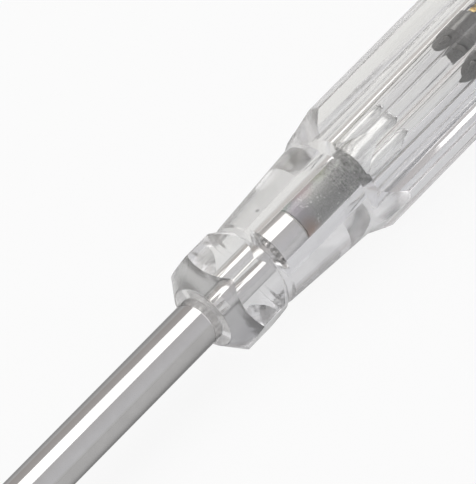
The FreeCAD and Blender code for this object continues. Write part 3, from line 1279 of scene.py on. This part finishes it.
# ------------------------------------------------------------------ the handle
@dataclass
class ClearHandle:
    """Clear handle: hexagonal collar, plain neck and fluted grip, bored right through."""

    steps: int = 192
    bore_steps: int = 128
    crease: float = 28.0
    corners_d: float = 17.8         # the collar, over its six corners
    corner_round: float = 0.25
    corner_steps: int = 4
    face_d: float = 10.6
    chamfer: float = 3.5
    flat_end: float = 8.2
    collar_end: float = 10.9
    groove_d: float = 14.6
    groove_end: float = 11.7
    neck_start: float = 12.2
    neck_front_d: float = 14.9
    neck_rear_d: float = 17.2
    neck_end: float = 29.3
    neck_round: float = 0.12
    neck_overlap: float = 3.0       # how far the neck runs on into the collar and the grip
    grip: FlutedBar = FlutedBar(22.0, 18.4, 2.15)
    grip_start: float = 34.9
    grip_overlap: float = 1.0
    grip_round: float = 0.35
    end_bevel: float = 1.6
    end_d: float = 19.2
    seat_d: float = 7.0
    seat: float = 1.0
    tang_d: float = 3.1
    bonded: float = 0.02            # the bore is this much narrower than the metal moulded in
    socket_bore: tuple[float, float] = (14.3, 6.1)
    bore_point: float = 1.5         # length of the cone at the front of the socket's bore
    wide_bore: tuple[float, float] = (32.0, 9.0)
    bore_cone: float = 1.3
    bore_overlap: float = 0.5
    thread: Thread = Thread()
    thread_start: float = 76.4
    mouth_bevel: float = 0.4

    def collar(self) -> Piece:
        """Six-sided collar with turned chamfers.

        Returns:
            The collar.
        """
        end = self.collar_end
        bar = set_up(
            "clear_handle", bpy.ops.mesh.primitive_cylinder_add, vertices=self.grip.sides,
            radius=self.corners_d / 2, depth=end, location=(end / 2, 0, 0),
            rotation=(0, math.pi / 2, 0),
        )
        edit(bar)

        def runs_along(edge: bmesh.types.BMEdge) -> bool:
            """Whether an edge runs along the bar."""
            return abs(edge.verts[0].co.x - edge.verts[1].co.x) > NEAR

        select_where(bar, Element.EDGE, runs_along)
        bpy.ops.mesh.bevel(offset=self.corner_round, segments=self.corner_steps, affect="EDGES")
        bpy.ops.object.mode_set(mode="OBJECT")
        outline = [
            (0, self.face_d), (self.chamfer, self.corners_d), (self.flat_end, self.corners_d),
            (end, self.groove_d),
        ]
        envelope = turned("collar_envelope", outline, self.steps, self.corner_round)
        return combine(bar, envelope, Combine.SHARED)

    def neck(self) -> Piece:
        """Groove and tapered neck.

        Returns:
            The neck.
        """
        over = self.neck_overlap
        outline = [
            (self.collar_end - over, self.groove_d), (self.groove_end, self.groove_d),
            (self.neck_start, self.neck_front_d), (self.neck_end, self.neck_rear_d),
            (self.neck_end + over, self.neck_rear_d),
        ]
        return turned("neck", outline, self.steps, self.neck_round)

    def fluted_grip(self, end: float) -> Piece:
        """Fluted grip with its ridges started on a cone.

        Args:
            end: the handle's rear face.

        Returns:
            The grip.
        """
        ridge_d = self.grip.ridge_d
        slope = (ridge_d - self.neck_rear_d) / (self.grip_start - self.neck_end)
        over = self.grip_overlap
        start = self.neck_end - over
        outline = [
            (start, self.neck_rear_d - slope * over), (self.grip_start, ridge_d),
            (end - self.end_bevel, ridge_d), (end, self.end_d),
        ]
        bar = self.grip.make("grip", start, end + over)
        rounding = (self.grip_round, self.corner_steps)
        envelope = turned("grip_envelope", outline, self.steps, *rounding)
        return combine(bar, envelope, Combine.SHARED)

    def bore(self, end: float) -> Piece:
        """Everything that is hollow in the handle.

        Args:
            end: the handle's rear face.

        Returns:
            The cutter.
        """
        seat_d, tang_d = self.seat_d - self.bonded, self.tang_d - self.bonded
        seat = self.seat - self.bonded
        wide, wide_d = self.wide_bore
        over, bevel = self.bore_overlap, self.mouth_bevel
        outline = [
            (-over, seat_d), (seat, seat_d), (seat, tang_d),
            (self.socket_bore[0] - self.bore_point, tang_d), self.socket_bore,
            (wide, self.socket_bore[1]), (wide + self.bore_cone, wide_d),
            (self.thread_start, wide_d), *self.thread.grooves(self.thread_start, end - bevel),
            (end + over, self.thread.inner_d + 2 * (bevel + over)),
        ]
        return turned("bore", outline, self.bore_steps)

    def build(self) -> None:
        """Builds and dresses the handle."""
        end = span("handle_body").end
        handle = self.collar()
        combine(handle, self.neck(), Combine.BOTH)
        combine(handle, self.fluted_grip(end), Combine.BOTH)
        combine(handle, self.bore(end), Combine.REST)
        clean(handle)
        dress(handle, CLEAR_PLASTIC, "handle", "handle_body", crease=self.crease)


# ------------------------------------------------------------------ the probe
@dataclass
class Probe:
    """Chromed shaft with its tang, and the hardened needle in its nose."""

    shaft_steps: int = 128
    shaft_round: float = 0.12
    needle_steps: int = 64
    needle_round: float = 0.05
    shaft_d: float = 7.4
    taper_end: float = -52.0
    nose_d: float = 3.4
    nose_bevel: float = 0.4         # where the needle goes in
    seat_d: float = 7.0
    seat: float = 1.0
    tang_d: float = 3.1
    head: float = 5.4
    head_cone: float = 1.4
    head_gap: float = 0.3
    needle_d: float = 2.0
    needle_tip_d: float = 0.2
    needle_point: float = 11.0

    def shaft(self) -> None:
        """Chromed shaft, tapered to its nose, and the tang with its thick head behind it."""
        size, holder = span("probe_shaft"), span("lamp_socket")
        head_end = holder.start - self.head_gap
        head_start = head_end - self.head
        outline = [
            (size.start + self.nose_bevel, self.needle_d),
            (size.start, self.needle_d + 2 * self.nose_bevel), (size.start, self.nose_d),
            (self.taper_end, self.shaft_d), (0, self.shaft_d), (0, self.seat_d),
            (self.seat, self.seat_d), (self.seat, self.tang_d),
            (head_start - self.head_cone, self.tang_d), (head_start, holder.width),
            (head_end, holder.width), (head_end, self.tang_d), (size.end, self.tang_d),
        ]
        piece = turned("probe_rod", outline, self.shaft_steps, self.shaft_round)
        dress(piece, CHROME, "handle", "probe_shaft")

    def needle(self) -> None:
        """Hardened needle with a long ground point."""
        size = span("probe_needle")
        outline = [
            (size.start, self.needle_tip_d), (size.start + self.needle_point, self.needle_d),
            (size.end, self.needle_d),
        ]
        piece = turned("probe_point", outline, self.needle_steps, self.needle_round)
        dress(piece, HARDENED_STEEL, "handle", "probe_needle")


# ------------------------------------------------------------------ the lamp and its holder
@dataclass
class LampHolder:
    """Plated tube with a knurled rear end, its nylon bush and the brass button."""

    steps: int = 64
    rounding: float = 0.1
    wall: float = 0.3
    knurl_start: float = KNURL_START
    knurl_pitch: float = 0.3
    knurl_depth: float = 0.12
    knurl_height: float = 0.114     # of its points
    knurl_columns: int = 60
    rear_round: float = 0.35
    tang_d: float = 3.1
    fit: float = 0.05
    contact_head_d: float = 2.4
    contact_step: float = 0.6

    def tube(self) -> None:
        """Holder tube: its rear band is cut into rings and raised into small points."""
        size = span("lamp_socket")
        inner = size.width - 2 * self.wall
        base_d = size.width - 2 * self.knurl_depth
        outline = [
            (size.start, inner), (size.start, size.width),
            (self.knurl_start - self.knurl_pitch, size.width), (self.knurl_start, base_d),
            (size.end, base_d), (size.end, inner),
        ]
        piece = turned("lamp_holder", outline, self.knurl_columns, hollow=True)
        edit(piece)
        rings = int((size.end - self.rear_round - self.knurl_start) / self.knurl_pitch)
        places = [self.knurl_start + i * self.knurl_pitch for i in range(1, rings + 1)]
        for place in places:
            pick_all()
            bpy.ops.mesh.bisect(plane_co=(place, 0, 0), plane_no=AXIS)

        def in_band(face: bmesh.types.BMFace) -> bool:
            """Picks the outside of the knurled band.

            Args:
                face: a face of the tube.

            Returns:
                Whether it is there.
            """
            centre = face.calc_center_median()
            outside = math.hypot(centre.y, centre.z) > base_d / 2 - self.wall / 2
            return outside and self.knurl_start < centre.x < places[-1]

        select_where(piece, Element.FACE, in_band)
        bpy.ops.mesh.poke(offset=self.knurl_height)
        bpy.ops.object.mode_set(mode="OBJECT")
        dress(piece, ZINC_PLATE, "handle", "lamp_socket")

    def bush(self) -> None:
        """Nylon bush between the tang and the holder."""
        hole = self.tang_d + 2 * self.fit
        piece = ring("holder_bush", "insulating_bush", hole, self.steps, self.rounding)
        dress(piece, WHITE_NYLON, "handle", "insulating_bush")

    def button(self) -> None:
        """Brass button between the tang and the lamp's tip."""
        size = span("centre_contact")
        step = size.end - self.contact_step
        outline = [(size.start, size.width), (step, size.width), (size.end, self.contact_head_d)]
        piece = turned("centre_button", outline, self.steps, self.rounding)
        dress(piece, BRASS, "handle", "centre_contact")


@dataclass
class Lamp:
    """Small bayonet-size lamp: contact, base, shell, glass, stem, wires and filament."""

    steps: int = 64
    wide_steps: int = 96
    rounding: float = 0.06
    contact_steps: int = 48
    contact_round: float = 0.08
    contact_crease: float = 60.0
    glass_crease: float = 45.0
    stem_round: float = 0.25
    leg_sides: int = 8
    shell_wall: float = 0.25
    flange: float = 0.4
    glass_wall: float = 0.4
    glass_neck: float = 1.8
    dome_steps: int = 12
    stem_waist: float = 0.6         # how much wider the stem's end is than the wires' gap
    wire_gap: float = 1.8
    wire_hook: float = 0.2
    filament_d: float = 0.16
    filament_wire: float = 0.035
    filament_turns: int = 9
    filament_foot: float = 0.1

    def contact(self) -> None:
        """Drop of solder on the lamp's base."""
        size = span("lamp_tip")
        outline = [(size.start, size.width / 2), (size.middle, size.width), (size.end, size.width)]
        piece = turned("lamp_contact", outline, self.contact_steps, self.contact_round)
        dress(piece, SOLDER, "handle", "lamp_tip", crease=self.contact_crease)

    def base(self) -> None:
        """Black glass between the contact and the shell."""
        size = span("lamp_insulator")
        outline = [(size.start, span("lamp_tip").width + 2 * self.flange), (size.end, size.width)]
        piece = turned("lamp_base", outline, self.steps, self.rounding)
        dress(piece, BLACK_GLASS, "handle", "lamp_insulator")

    def shell(self) -> None:
        """Plated shell with its flange."""
        size = span("lamp_shell")
        glass_d = span("lamp_stem").width + 2 * self.glass_wall
        outer = glass_d + 2 * self.shell_wall
        flange, floor = size.end - self.flange, size.start + self.shell_wall
        outline = [
            (size.start, outer), (flange, outer), (flange, size.width), (size.end, size.width),
            (size.end, glass_d), (floor, glass_d), (floor, 0),
        ]
        piece = turned("lamp_shell_cap", outline, self.wide_steps, self.rounding)
        dress(piece, NICKEL_PLATE, "handle", "lamp_shell")

    def glass(self) -> None:
        """Envelope with a round end and a true wall."""
        size = span("lamp_glass")
        inner_neck = span("lamp_stem").width
        neck_d = inner_neck + 2 * self.glass_wall
        flange_end = span("lamp_shell").end
        full = flange_end + self.glass_neck
        centre = size.end - size.width / 2
        inner = size.width - 2 * self.glass_wall
        outline = [(size.start, neck_d), (flange_end, neck_d), (full, size.width)]
        angles = [math.pi / 2 * i / self.dome_steps for i in range(self.dome_steps + 1)]
        for width, sweep in ((size.width, angles), (inner, reversed(angles))):
            for angle in sweep:
                outline.append((centre + width / 2 * math.sin(angle), width * math.cos(angle)))
        outline += [(full, inner), (flange_end, inner_neck), (size.start, inner_neck)]
        piece = turned("lamp_bulb", outline, self.wide_steps, hollow=True)
        dress(piece, LAMP_GLASS, "handle", "lamp_glass", crease=self.glass_crease)

    def stem(self) -> None:
        """Glass plug that carries the wires."""
        size = span("lamp_stem")
        end_d = self.wire_gap + self.stem_waist
        outline = [(size.start, size.width), (size.middle, size.width), (size.end, end_d)]
        piece = turned("bulb_stem", outline, self.steps, self.stem_round)
        dress(piece, LAMP_GLASS, "handle", "lamp_stem", crease=self.glass_crease)

    def wires(self) -> None:
        """Two wires that hold the filament."""
        size = span("lamp_wires")
        places = (size.start, size.end - self.wire_hook, size.end)
        thick = size.width - self.wire_gap
        made = [
            wire("bulb_wires", [Vector((place, y, 0)) for place in places], thick)
            for y in (-self.wire_gap / 2, self.wire_gap / 2)
        ]
        dress(join(*made), NICKEL_WIRE, "handle", "lamp_wires")

    def filament(self) -> None:
        """Coiled filament between the two wires, with a leg to each."""
        size = span("lamp_filament")
        length = self.wire_gap / 2
        shoulder = size.end - self.filament_d / 2
        thin = self.filament_wire
        turns = self.filament_turns
        piece = coil(
            "bulb_filament", self.filament_d - thin, thin, -length / 2, turns, length / turns
        )
        close_ends(piece)
        edit(piece)
        pick_all()
        bpy.ops.transform.rotate(value=math.pi / 2, orient_axis="Z", center_override=ORIGIN)
        bpy.ops.transform.translate(value=(shoulder, 0, 0))
        bpy.ops.object.mode_set(mode="OBJECT")
        foot = size.start + self.filament_foot
        legs = [
            wire(
                "filament_leg",
                [Vector((foot, side * length, 0)), Vector((shoulder, side * length / 2, 0))],
                thin, self.leg_sides,
            )
            for side in (-1, 1)
        ]
        dress(join(piece, *legs), TUNGSTEN, "handle", "lamp_filament")


# ------------------------------------------------------------------ the return contact
@dataclass
class ReturnContact:
    """Rails from the lamp holder, spring cup, terminal with its screw, spring and washer."""

    steps: int = 96
    rail_sides: int = 24
    rail_crease: float = 50.0
    rail_d: float = 0.7
    rail_circle_d: float = 8.0
    rail_angle: float = -60.0
    rail_bend: float = 1.6
    cup_face: float = 1.0
    cup_wall: float = 0.45
    cup_round: float = 0.15
    rivet_d: float = 2.6
    rivet_head: float = 0.6
    terminal_steps: int = 64
    terminal_round: float = 0.08
    terminal_d: float = 4.0
    terminal_bore_d: float = 1.6
    terminal_bore: float = 6.0
    cross_hole_d: float = 1.6
    screw_sides: int = 48
    screw_d: float = 1.56
    screw_head: float = 0.5
    head_ratio: float = 1.5         # the screw's head over its shank
    screw_bevel: float = 0.08
    bevel_steps: int = 2
    screw_slot: tuple[float, float, float] = (0.4, 3.0, 0.6)
    spring_crease: float = 60.0
    spring_mean_d: float = 6.6
    spring_wire_d: float = 0.7
    spring_turns: float = 7.0
    closed_turns: float = 1.25
    closed_pitch: float = 0.75
    washer_hole_d: float = 5.0
    washer_round: float = 0.1

    def rails(self) -> None:
        """Two wires, bent outwards past the lamp."""
        size, holder = span("contact_rails"), span("lamp_socket")
        foot_d = holder.width + self.rail_d
        corners = (
            (foot_d, size.start), (foot_d, holder.end),
            (self.rail_circle_d, holder.end + self.rail_bend), (self.rail_circle_d, size.end),
        )
        made = [
            wire(
                "return_rails", [radial(d, degrees, x) for d, x in corners], self.rail_d,
                self.rail_sides,
            )
            for degrees in (self.rail_angle, self.rail_angle + 180)
        ]
        dress(join(*made), NICKEL_WIRE, "handle", "contact_rails", crease=self.rail_crease)

    def cup(self) -> None:
        """Drawn cup that carries the spring's front end."""
        size = span("contact_cup")
        inner = size.width - 2 * self.cup_wall
        floor = size.start + self.cup_face
        outline = [
            (size.start, self.rivet_d), (size.start, size.width), (size.end, size.width),
            (size.end, inner), (floor, inner), (floor, self.rivet_d),
        ]
        piece = turned("spring_cup", outline, self.steps, self.cup_round, hollow=True)
        dress(piece, DARK_NICKEL, "handle", "contact_cup")

    def terminal(self) -> None:
        """Riveted terminal, bored for the bare end of the lead and drilled across for its screw."""
        size, front = span("lead_terminal"), span("contact_cup").start
        back, bottom = front + self.cup_face, size.end - self.terminal_bore
        outline = [
            (size.start, self.rivet_d), (front, self.rivet_d + 2 * self.rivet_head),
            (front, self.rivet_d), (back, self.rivet_d), (back, self.terminal_d),
            (size.end, self.terminal_d), (size.end, self.terminal_bore_d),
            (bottom, self.terminal_bore_d), (bottom, 0),
        ]
        piece = turned("terminal_post", outline, self.terminal_steps, self.terminal_round)
        hole = set_up(
            "cross_hole", bpy.ops.mesh.primitive_cylinder_add, vertices=self.screw_sides,
            radius=self.cross_hole_d / 2, depth=self.terminal_d,
            location=(span("clamp_screw").middle, 0, self.terminal_d / 2),
        )
        combine(piece, hole, Combine.REST)
        clean(piece)
        dress(piece, DARK_NICKEL, "handle", "lead_terminal")

    def screw(self) -> None:
        """Slotted clamping screw."""
        low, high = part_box("clamp_screw")
        bottom, top = low.z / MM, high.z / MM
        middle = span("clamp_screw").middle
        neck = top - self.screw_head
        piece = set_up(
            "terminal_screw", bpy.ops.mesh.primitive_cylinder_add, vertices=self.screw_sides,
            radius=self.screw_d / 2, depth=neck - bottom, location=(middle, 0, (neck + bottom) / 2),
        )
        edit(piece)
        select_where(piece, Element.FACE, lambda face: face.calc_center_median().z > neck - NEAR)
        bpy.ops.mesh.extrude_region_move()
        wider = (self.head_ratio, self.head_ratio, 1)
        bpy.ops.transform.resize(value=wider, center_override=(middle, 0, neck))
        pull(Vector((0, 0, self.screw_head)))
        weld()
        modify(
            piece, "BEVEL", width=self.screw_bevel, segments=self.bevel_steps, limit_method="ANGLE"
        )
        slot = set_up(
            "slot", bpy.ops.mesh.primitive_cube_add, size=1, location=(middle, 0, top),
            scale=self.screw_slot,
        )
        combine(piece, slot, Combine.REST)
        dress(piece, BRASS, "handle", "clamp_screw")

    def spring(self) -> None:
        """Compression spring with closed end coils, wound from the cup to the washer."""
        first = span("contact_cup").start + self.cup_face + self.spring_wire_d / 2
        last = span("spring_washer").start - self.spring_wire_d / 2
        closed = self.closed_turns * self.closed_pitch
        active = self.spring_turns - 2 * self.closed_turns
        pitch = (last - first - 2 * closed) / active
        runs = (
            (first, self.closed_turns, self.closed_pitch, 0.0),
            (first + closed, active, pitch, self.closed_turns),
            (last - closed, self.closed_turns, self.closed_pitch, self.closed_turns + active),
        )
        piece = join(*(
            coil("return_spring", self.spring_mean_d, self.spring_wire_d, *run) for run in runs
        ))
        close_ends(piece)
        finish_piece(piece, self.spring_crease)
        cover(piece, SPRING_STEEL)
        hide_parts("contact_spring")
        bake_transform(piece)
        LOG.info("%s: stretches between handle and spring_seat", piece.name)

    def washer(self) -> None:
        """Washer between the spring and the cap."""
        size = (self.washer_hole_d, self.steps, self.washer_round)
        piece = ring("spring_disc", "spring_washer", *size)
        dress(piece, ZINC_WASHER, "spring_seat", "spring_washer")


# ------------------------------------------------------------------ the cap
@dataclass
class ScrewCap:
    """Fluted screw cap with its sealing ring and the rubber bush of the lead."""

    steps: int = 96
    grip: FlutedBar = FlutedBar(21.0, 18.4, 2.4, edge=0.35)
    front_bevel: float = 0.8
    front_d: float = 19.6
    dome: float = 5.0
    dome_steps: int = 12
    rear_d: float = 12.4
    head_steps: int = 144
    head_overlap: float = 0.5
    thread: Thread = Thread()
    corner_steps: int = 4
    thread_clear: float = 0.16
    thread_root_d: float = 10.9
    thread_rooted: float = 0.1      # how deep the thread's foot is in the spigot
    thread_stop: float = 0.4        # and how far it ends from the seal
    thread_crest: tuple[float, float] = (0.42, 0.58)
    thread_steps: int = 48
    spigot_bevel: float = 0.5
    spigot_neck: tuple[float, float] = (0.6, 0.3)
    spigot_overlap: float = 1.0
    bore_d: float = 7.4
    end_wall: float = 2.0
    seal_round: float = 0.2
    bush_round: float = 0.18
    bush_hole_d: float = 5.8
    bush_clear: float = 0.2
    bush_end_d: float = 7.0
    lead_hole_d: float = 4.0

    @property
    def spigot_d(self) -> float:
        """Diameter over the thread's crests."""
        return self.thread.inner_d - self.thread_clear

    def head(self, start: float, end: float) -> Piece:
        """Fluted head with a round end.

        Args:
            start: front face.
            end: rear face.

        Returns:
            The head.
        """
        bar = self.grip.make("screw_cap", start - self.head_overlap, end + self.head_overlap)
        reach = self.grip.ridge_d - self.rear_d
        outline = [(start, self.front_d), (start + self.front_bevel, self.grip.ridge_d)]
        for i in range(self.dome_steps + 1):
            angle = math.pi / 2 * i / self.dome_steps
            place = end - self.dome + self.dome * math.sin(angle)
            outline.append((place, self.rear_d + reach * math.cos(angle)))
        return combine(bar, turned("cap_envelope", outline, self.head_steps), Combine.SHARED)

    def raised_thread(self, start: float, end: float) -> Piece:
        """Raised thread: a V section wound round the spigot.

        Args:
            start: front end.
            end: rear end.

        Returns:
            The thread.
        """
        crest, root = self.spigot_d / 2, self.thread_root_d / 2 - self.thread_rooted
        pitch = self.thread.pitch
        rise, fall = self.thread_crest
        corners = ((0, root), (rise, crest), (fall, crest), (1, root))
        piece = draw("cap_thread", [Vector((start + part * pitch, 0, z)) for part, z in corners])
        pick_all()
        bpy.ops.mesh.edge_face_add()
        bpy.ops.object.mode_set(mode="OBJECT")
        wind(piece, (end - start) / pitch - 1, pitch, self.thread_steps)
        close_ends(piece)
        return piece

    def cap(self) -> None:
        """Cap: head, threaded spigot and hollow."""
        size, seal = span("end_cap"), span("cap_seal")
        bevel, over = self.spigot_bevel, self.spigot_overlap
        before, after = (seal.start - part for part in self.spigot_neck)
        root_d, inside = self.thread_root_d, size.end - self.end_wall
        piece = self.head(seal.end, size.end)
        spigot = [
            (size.start, root_d - 2 * bevel), (size.start + bevel, root_d), (before, root_d),
            (after, self.spigot_d), (seal.end + over, self.spigot_d),
        ]
        hollow = [
            (size.start - over, self.bore_d), (inside, self.bore_d),
            (inside, self.bush_hole_d), (size.end + over, self.bush_hole_d),
        ]
        combine(piece, turned("spigot", spigot, self.steps), Combine.BOTH)
        combine(piece, turned("hollow", hollow, self.steps), Combine.REST)
        clean(piece)
        join(piece, self.raised_thread(size.start + bevel, seal.start - self.thread_stop))
        dress(piece, PALE_PLASTIC, "cap", "end_cap")

    def seal(self) -> None:
        """Rubber ring between the handle and the cap."""
        size = (self.spigot_d, self.steps, self.seal_round, self.corner_steps)
        piece = ring("cap_ring", "cap_seal", *size)
        dress(piece, PALE_RUBBER, "cap", "cap_seal")

    def bush(self) -> None:
        """Rubber bush that the lead passes through."""
        size, end = span("cable_grommet"), span("end_cap").end
        inside, nose = end - self.end_wall, (end + size.end) / 2
        hole, neck_d = self.lead_hole_d, self.bush_hole_d
        outline = [
            (size.start, hole), (size.start, neck_d), (inside, self.bore_d - self.bush_clear),
            (inside, neck_d), (end, neck_d), (end, size.width), (nose, size.width),
            (size.end, self.bush_end_d), (size.end, hole),
        ]
        rounding = (self.bush_round, self.corner_steps)
        piece = turned("lead_bush", outline, self.steps, *rounding, hollow=True)
        dress(piece, BLACK_RUBBER, "cap", "cable_grommet")


# ------------------------------------------------------------------ the studio
@dataclass
class Studio:
    """Pale floor, grey room with a large soft lamp above, and the camera."""

    floor_size: float = 24.0
    floor_colour: Colour = (0.5, 0.5, 0.5)
    floor_glow: float = 0.9
    floor_mirrored: float = 0.4     # how much of it glows in reflections
    front_wall: Colour = (0.92, 0.92, 0.95)
    rear_wall: Colour = (0.62, 0.58, 0.56)
    horizon: Colour = (0.82, 0.82, 0.82)
    horizon_height: tuple[float, float] = (0.05, 0.22)  # where it begins to turn to wall, and has
    lamp_place: tuple[float, float, float] = (0.4, 0.32, 1.2)
    lamp_size: tuple[float, float] = (2.8, 1.17)
    lamp_power: float = 16.5
    to_camera: tuple[float, float, float] = (-0.454, -0.511, 0.730)
    axis_turn: float = 45.3         # angle at which the axis runs up the view, in degrees
    centre_along: float = 11.4      # the view's centre from the origin along the axis, in mm
    centre_across: float = 4.1      # and square to it
    view_height: float = 70.2       # height of the view at the object, in mm
    distance: float = 1.2
    clip: tuple[float, float] = (0.1, 50.0)
    bounces: int = 32
    glossy_bounces: int = 12

    def floor(self) -> None:
        """Pale floor that the grip's ridges lie on; it keeps the object's shadow."""
        low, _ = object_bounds()
        place = (0, 0, low.z)
        plane = bpy.ops.mesh.primitive_plane_add
        floor = set_up("floor", plane, size=self.floor_size, location=place)
        material = bpy.data.materials.new("floor")
        w = Wiring(material)
        path = w.add("ShaderNodeLightPath").outputs
        seen = w.math("MAXIMUM", path["Is Camera Ray"], path["Is Transmission Ray"])
        mirrored = w.math("MULTIPLY", path["Is Glossy Ray"], self.floor_mirrored)
        share = w.math("MAXIMUM", w.math("MULTIPLY", seen, self.floor_glow), mirrored)
        plain = w.add("ShaderNodeBsdfDiffuse", Color=self.floor_colour)
        w.choose(share, plain, w.add("ShaderNodeEmission", Strength=1.0))
        floor.data.materials.append(material)
        floor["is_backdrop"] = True

    def room(self) -> None:
        """Grey room, pale near the horizon, cooler in front and warmer behind."""
        world = bpy.data.worlds.new("room")
        bpy.context.scene.world = world
        w = Wiring(world, "ShaderNodeOutputWorld")
        way = w.add("ShaderNodeTexCoord").outputs["Generated"]
        walls = w.blend(w.spread(w.part(way, "Y"), 0, 1, -1, 1), self.front_wall, self.rear_wall)
        low, high = self.horizon_height
        height = w.add(
            "ShaderNodeMapRange", interpolation_type="SMOOTHSTEP", Value=w.part(way, "Z"),
            From_Min=low, From_Max=high,
        )
        colour = w.blend(height.outputs["Result"], self.horizon, walls)
        w.show(w.add("ShaderNodeBackground", Color=colour))

    def lamp(self) -> None:
        """Soft rectangular lamp that hangs above."""
        clear_bench()
        bpy.ops.object.light_add(type="AREA", location=self.lamp_place)
        lamp = bpy.context.object
        lamp.name = "top_light"
        lamp.data.shape = "RECTANGLE"
        lamp.data.size, lamp.data.size_y = self.lamp_size
        lamp.data.energy = self.lamp_power
        lamp.visible_camera = False

    def camera(self) -> None:
        """Camera with a long lens, looking down at the collar."""
        back = Vector(self.to_camera).normalized()
        along = (Vector(AXIS) - Vector(AXIS).dot(back) * back).normalized()
        across = back.cross(along)
        angle = math.radians(self.axis_turn)
        right = math.cos(angle) * along - math.sin(angle) * across
        up = math.sin(angle) * along + math.cos(angle) * across
        target = (self.centre_along * along + self.centre_across * across) * MM
        clear_bench()
        bpy.ops.object.camera_add(location=target + back * self.distance)
        camera = bpy.context.object
        camera.name = "camera"
        matrix = camera.matrix_world.copy()
        for row in range(3):
            matrix[row][0], matrix[row][1], matrix[row][2] = right[row], up[row], back[row]
        camera.matrix_world = matrix
        camera.data.lens = camera.data.sensor_width * self.distance / (self.view_height * MM)
        camera.data.clip_start, camera.data.clip_end = self.clip
        bpy.context.scene.camera = camera

    def build(self) -> None:
        """Builds the floor, the room, the lamp and the camera."""
        self.floor()
        self.room()
        self.lamp()
        self.camera()
        scene = bpy.context.scene
        scene.view_settings.view_transform = "Standard"
        cycles = scene.cycles
        cycles.max_bounces = cycles.transmission_bounces = self.bounces
        cycles.transparent_max_bounces = self.bounces
        cycles.glossy_bounces = self.glossy_bounces


def main() -> None:
    """Builds the test light piece by piece, then the studio."""
    logging.basicConfig(level=logging.INFO, format="%(name)s: %(message)s")
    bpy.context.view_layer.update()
    ClearHandle().build()
    probe, holder, lamp, contact, cap = Probe(), LampHolder(), Lamp(), ReturnContact(), ScrewCap()
    for make in (
        probe.shaft, probe.needle,
        holder.tube, holder.bush, holder.button,
        lamp.contact, lamp.base, lamp.shell, lamp.glass, lamp.stem, lamp.wires, lamp.filament,
        contact.rails, contact.cup, contact.terminal, contact.screw, contact.spring, contact.washer,
        cap.cap, cap.seal, cap.bush,
    ):
        make()
    Studio().build()


if __name__ == "__main__":
    main()
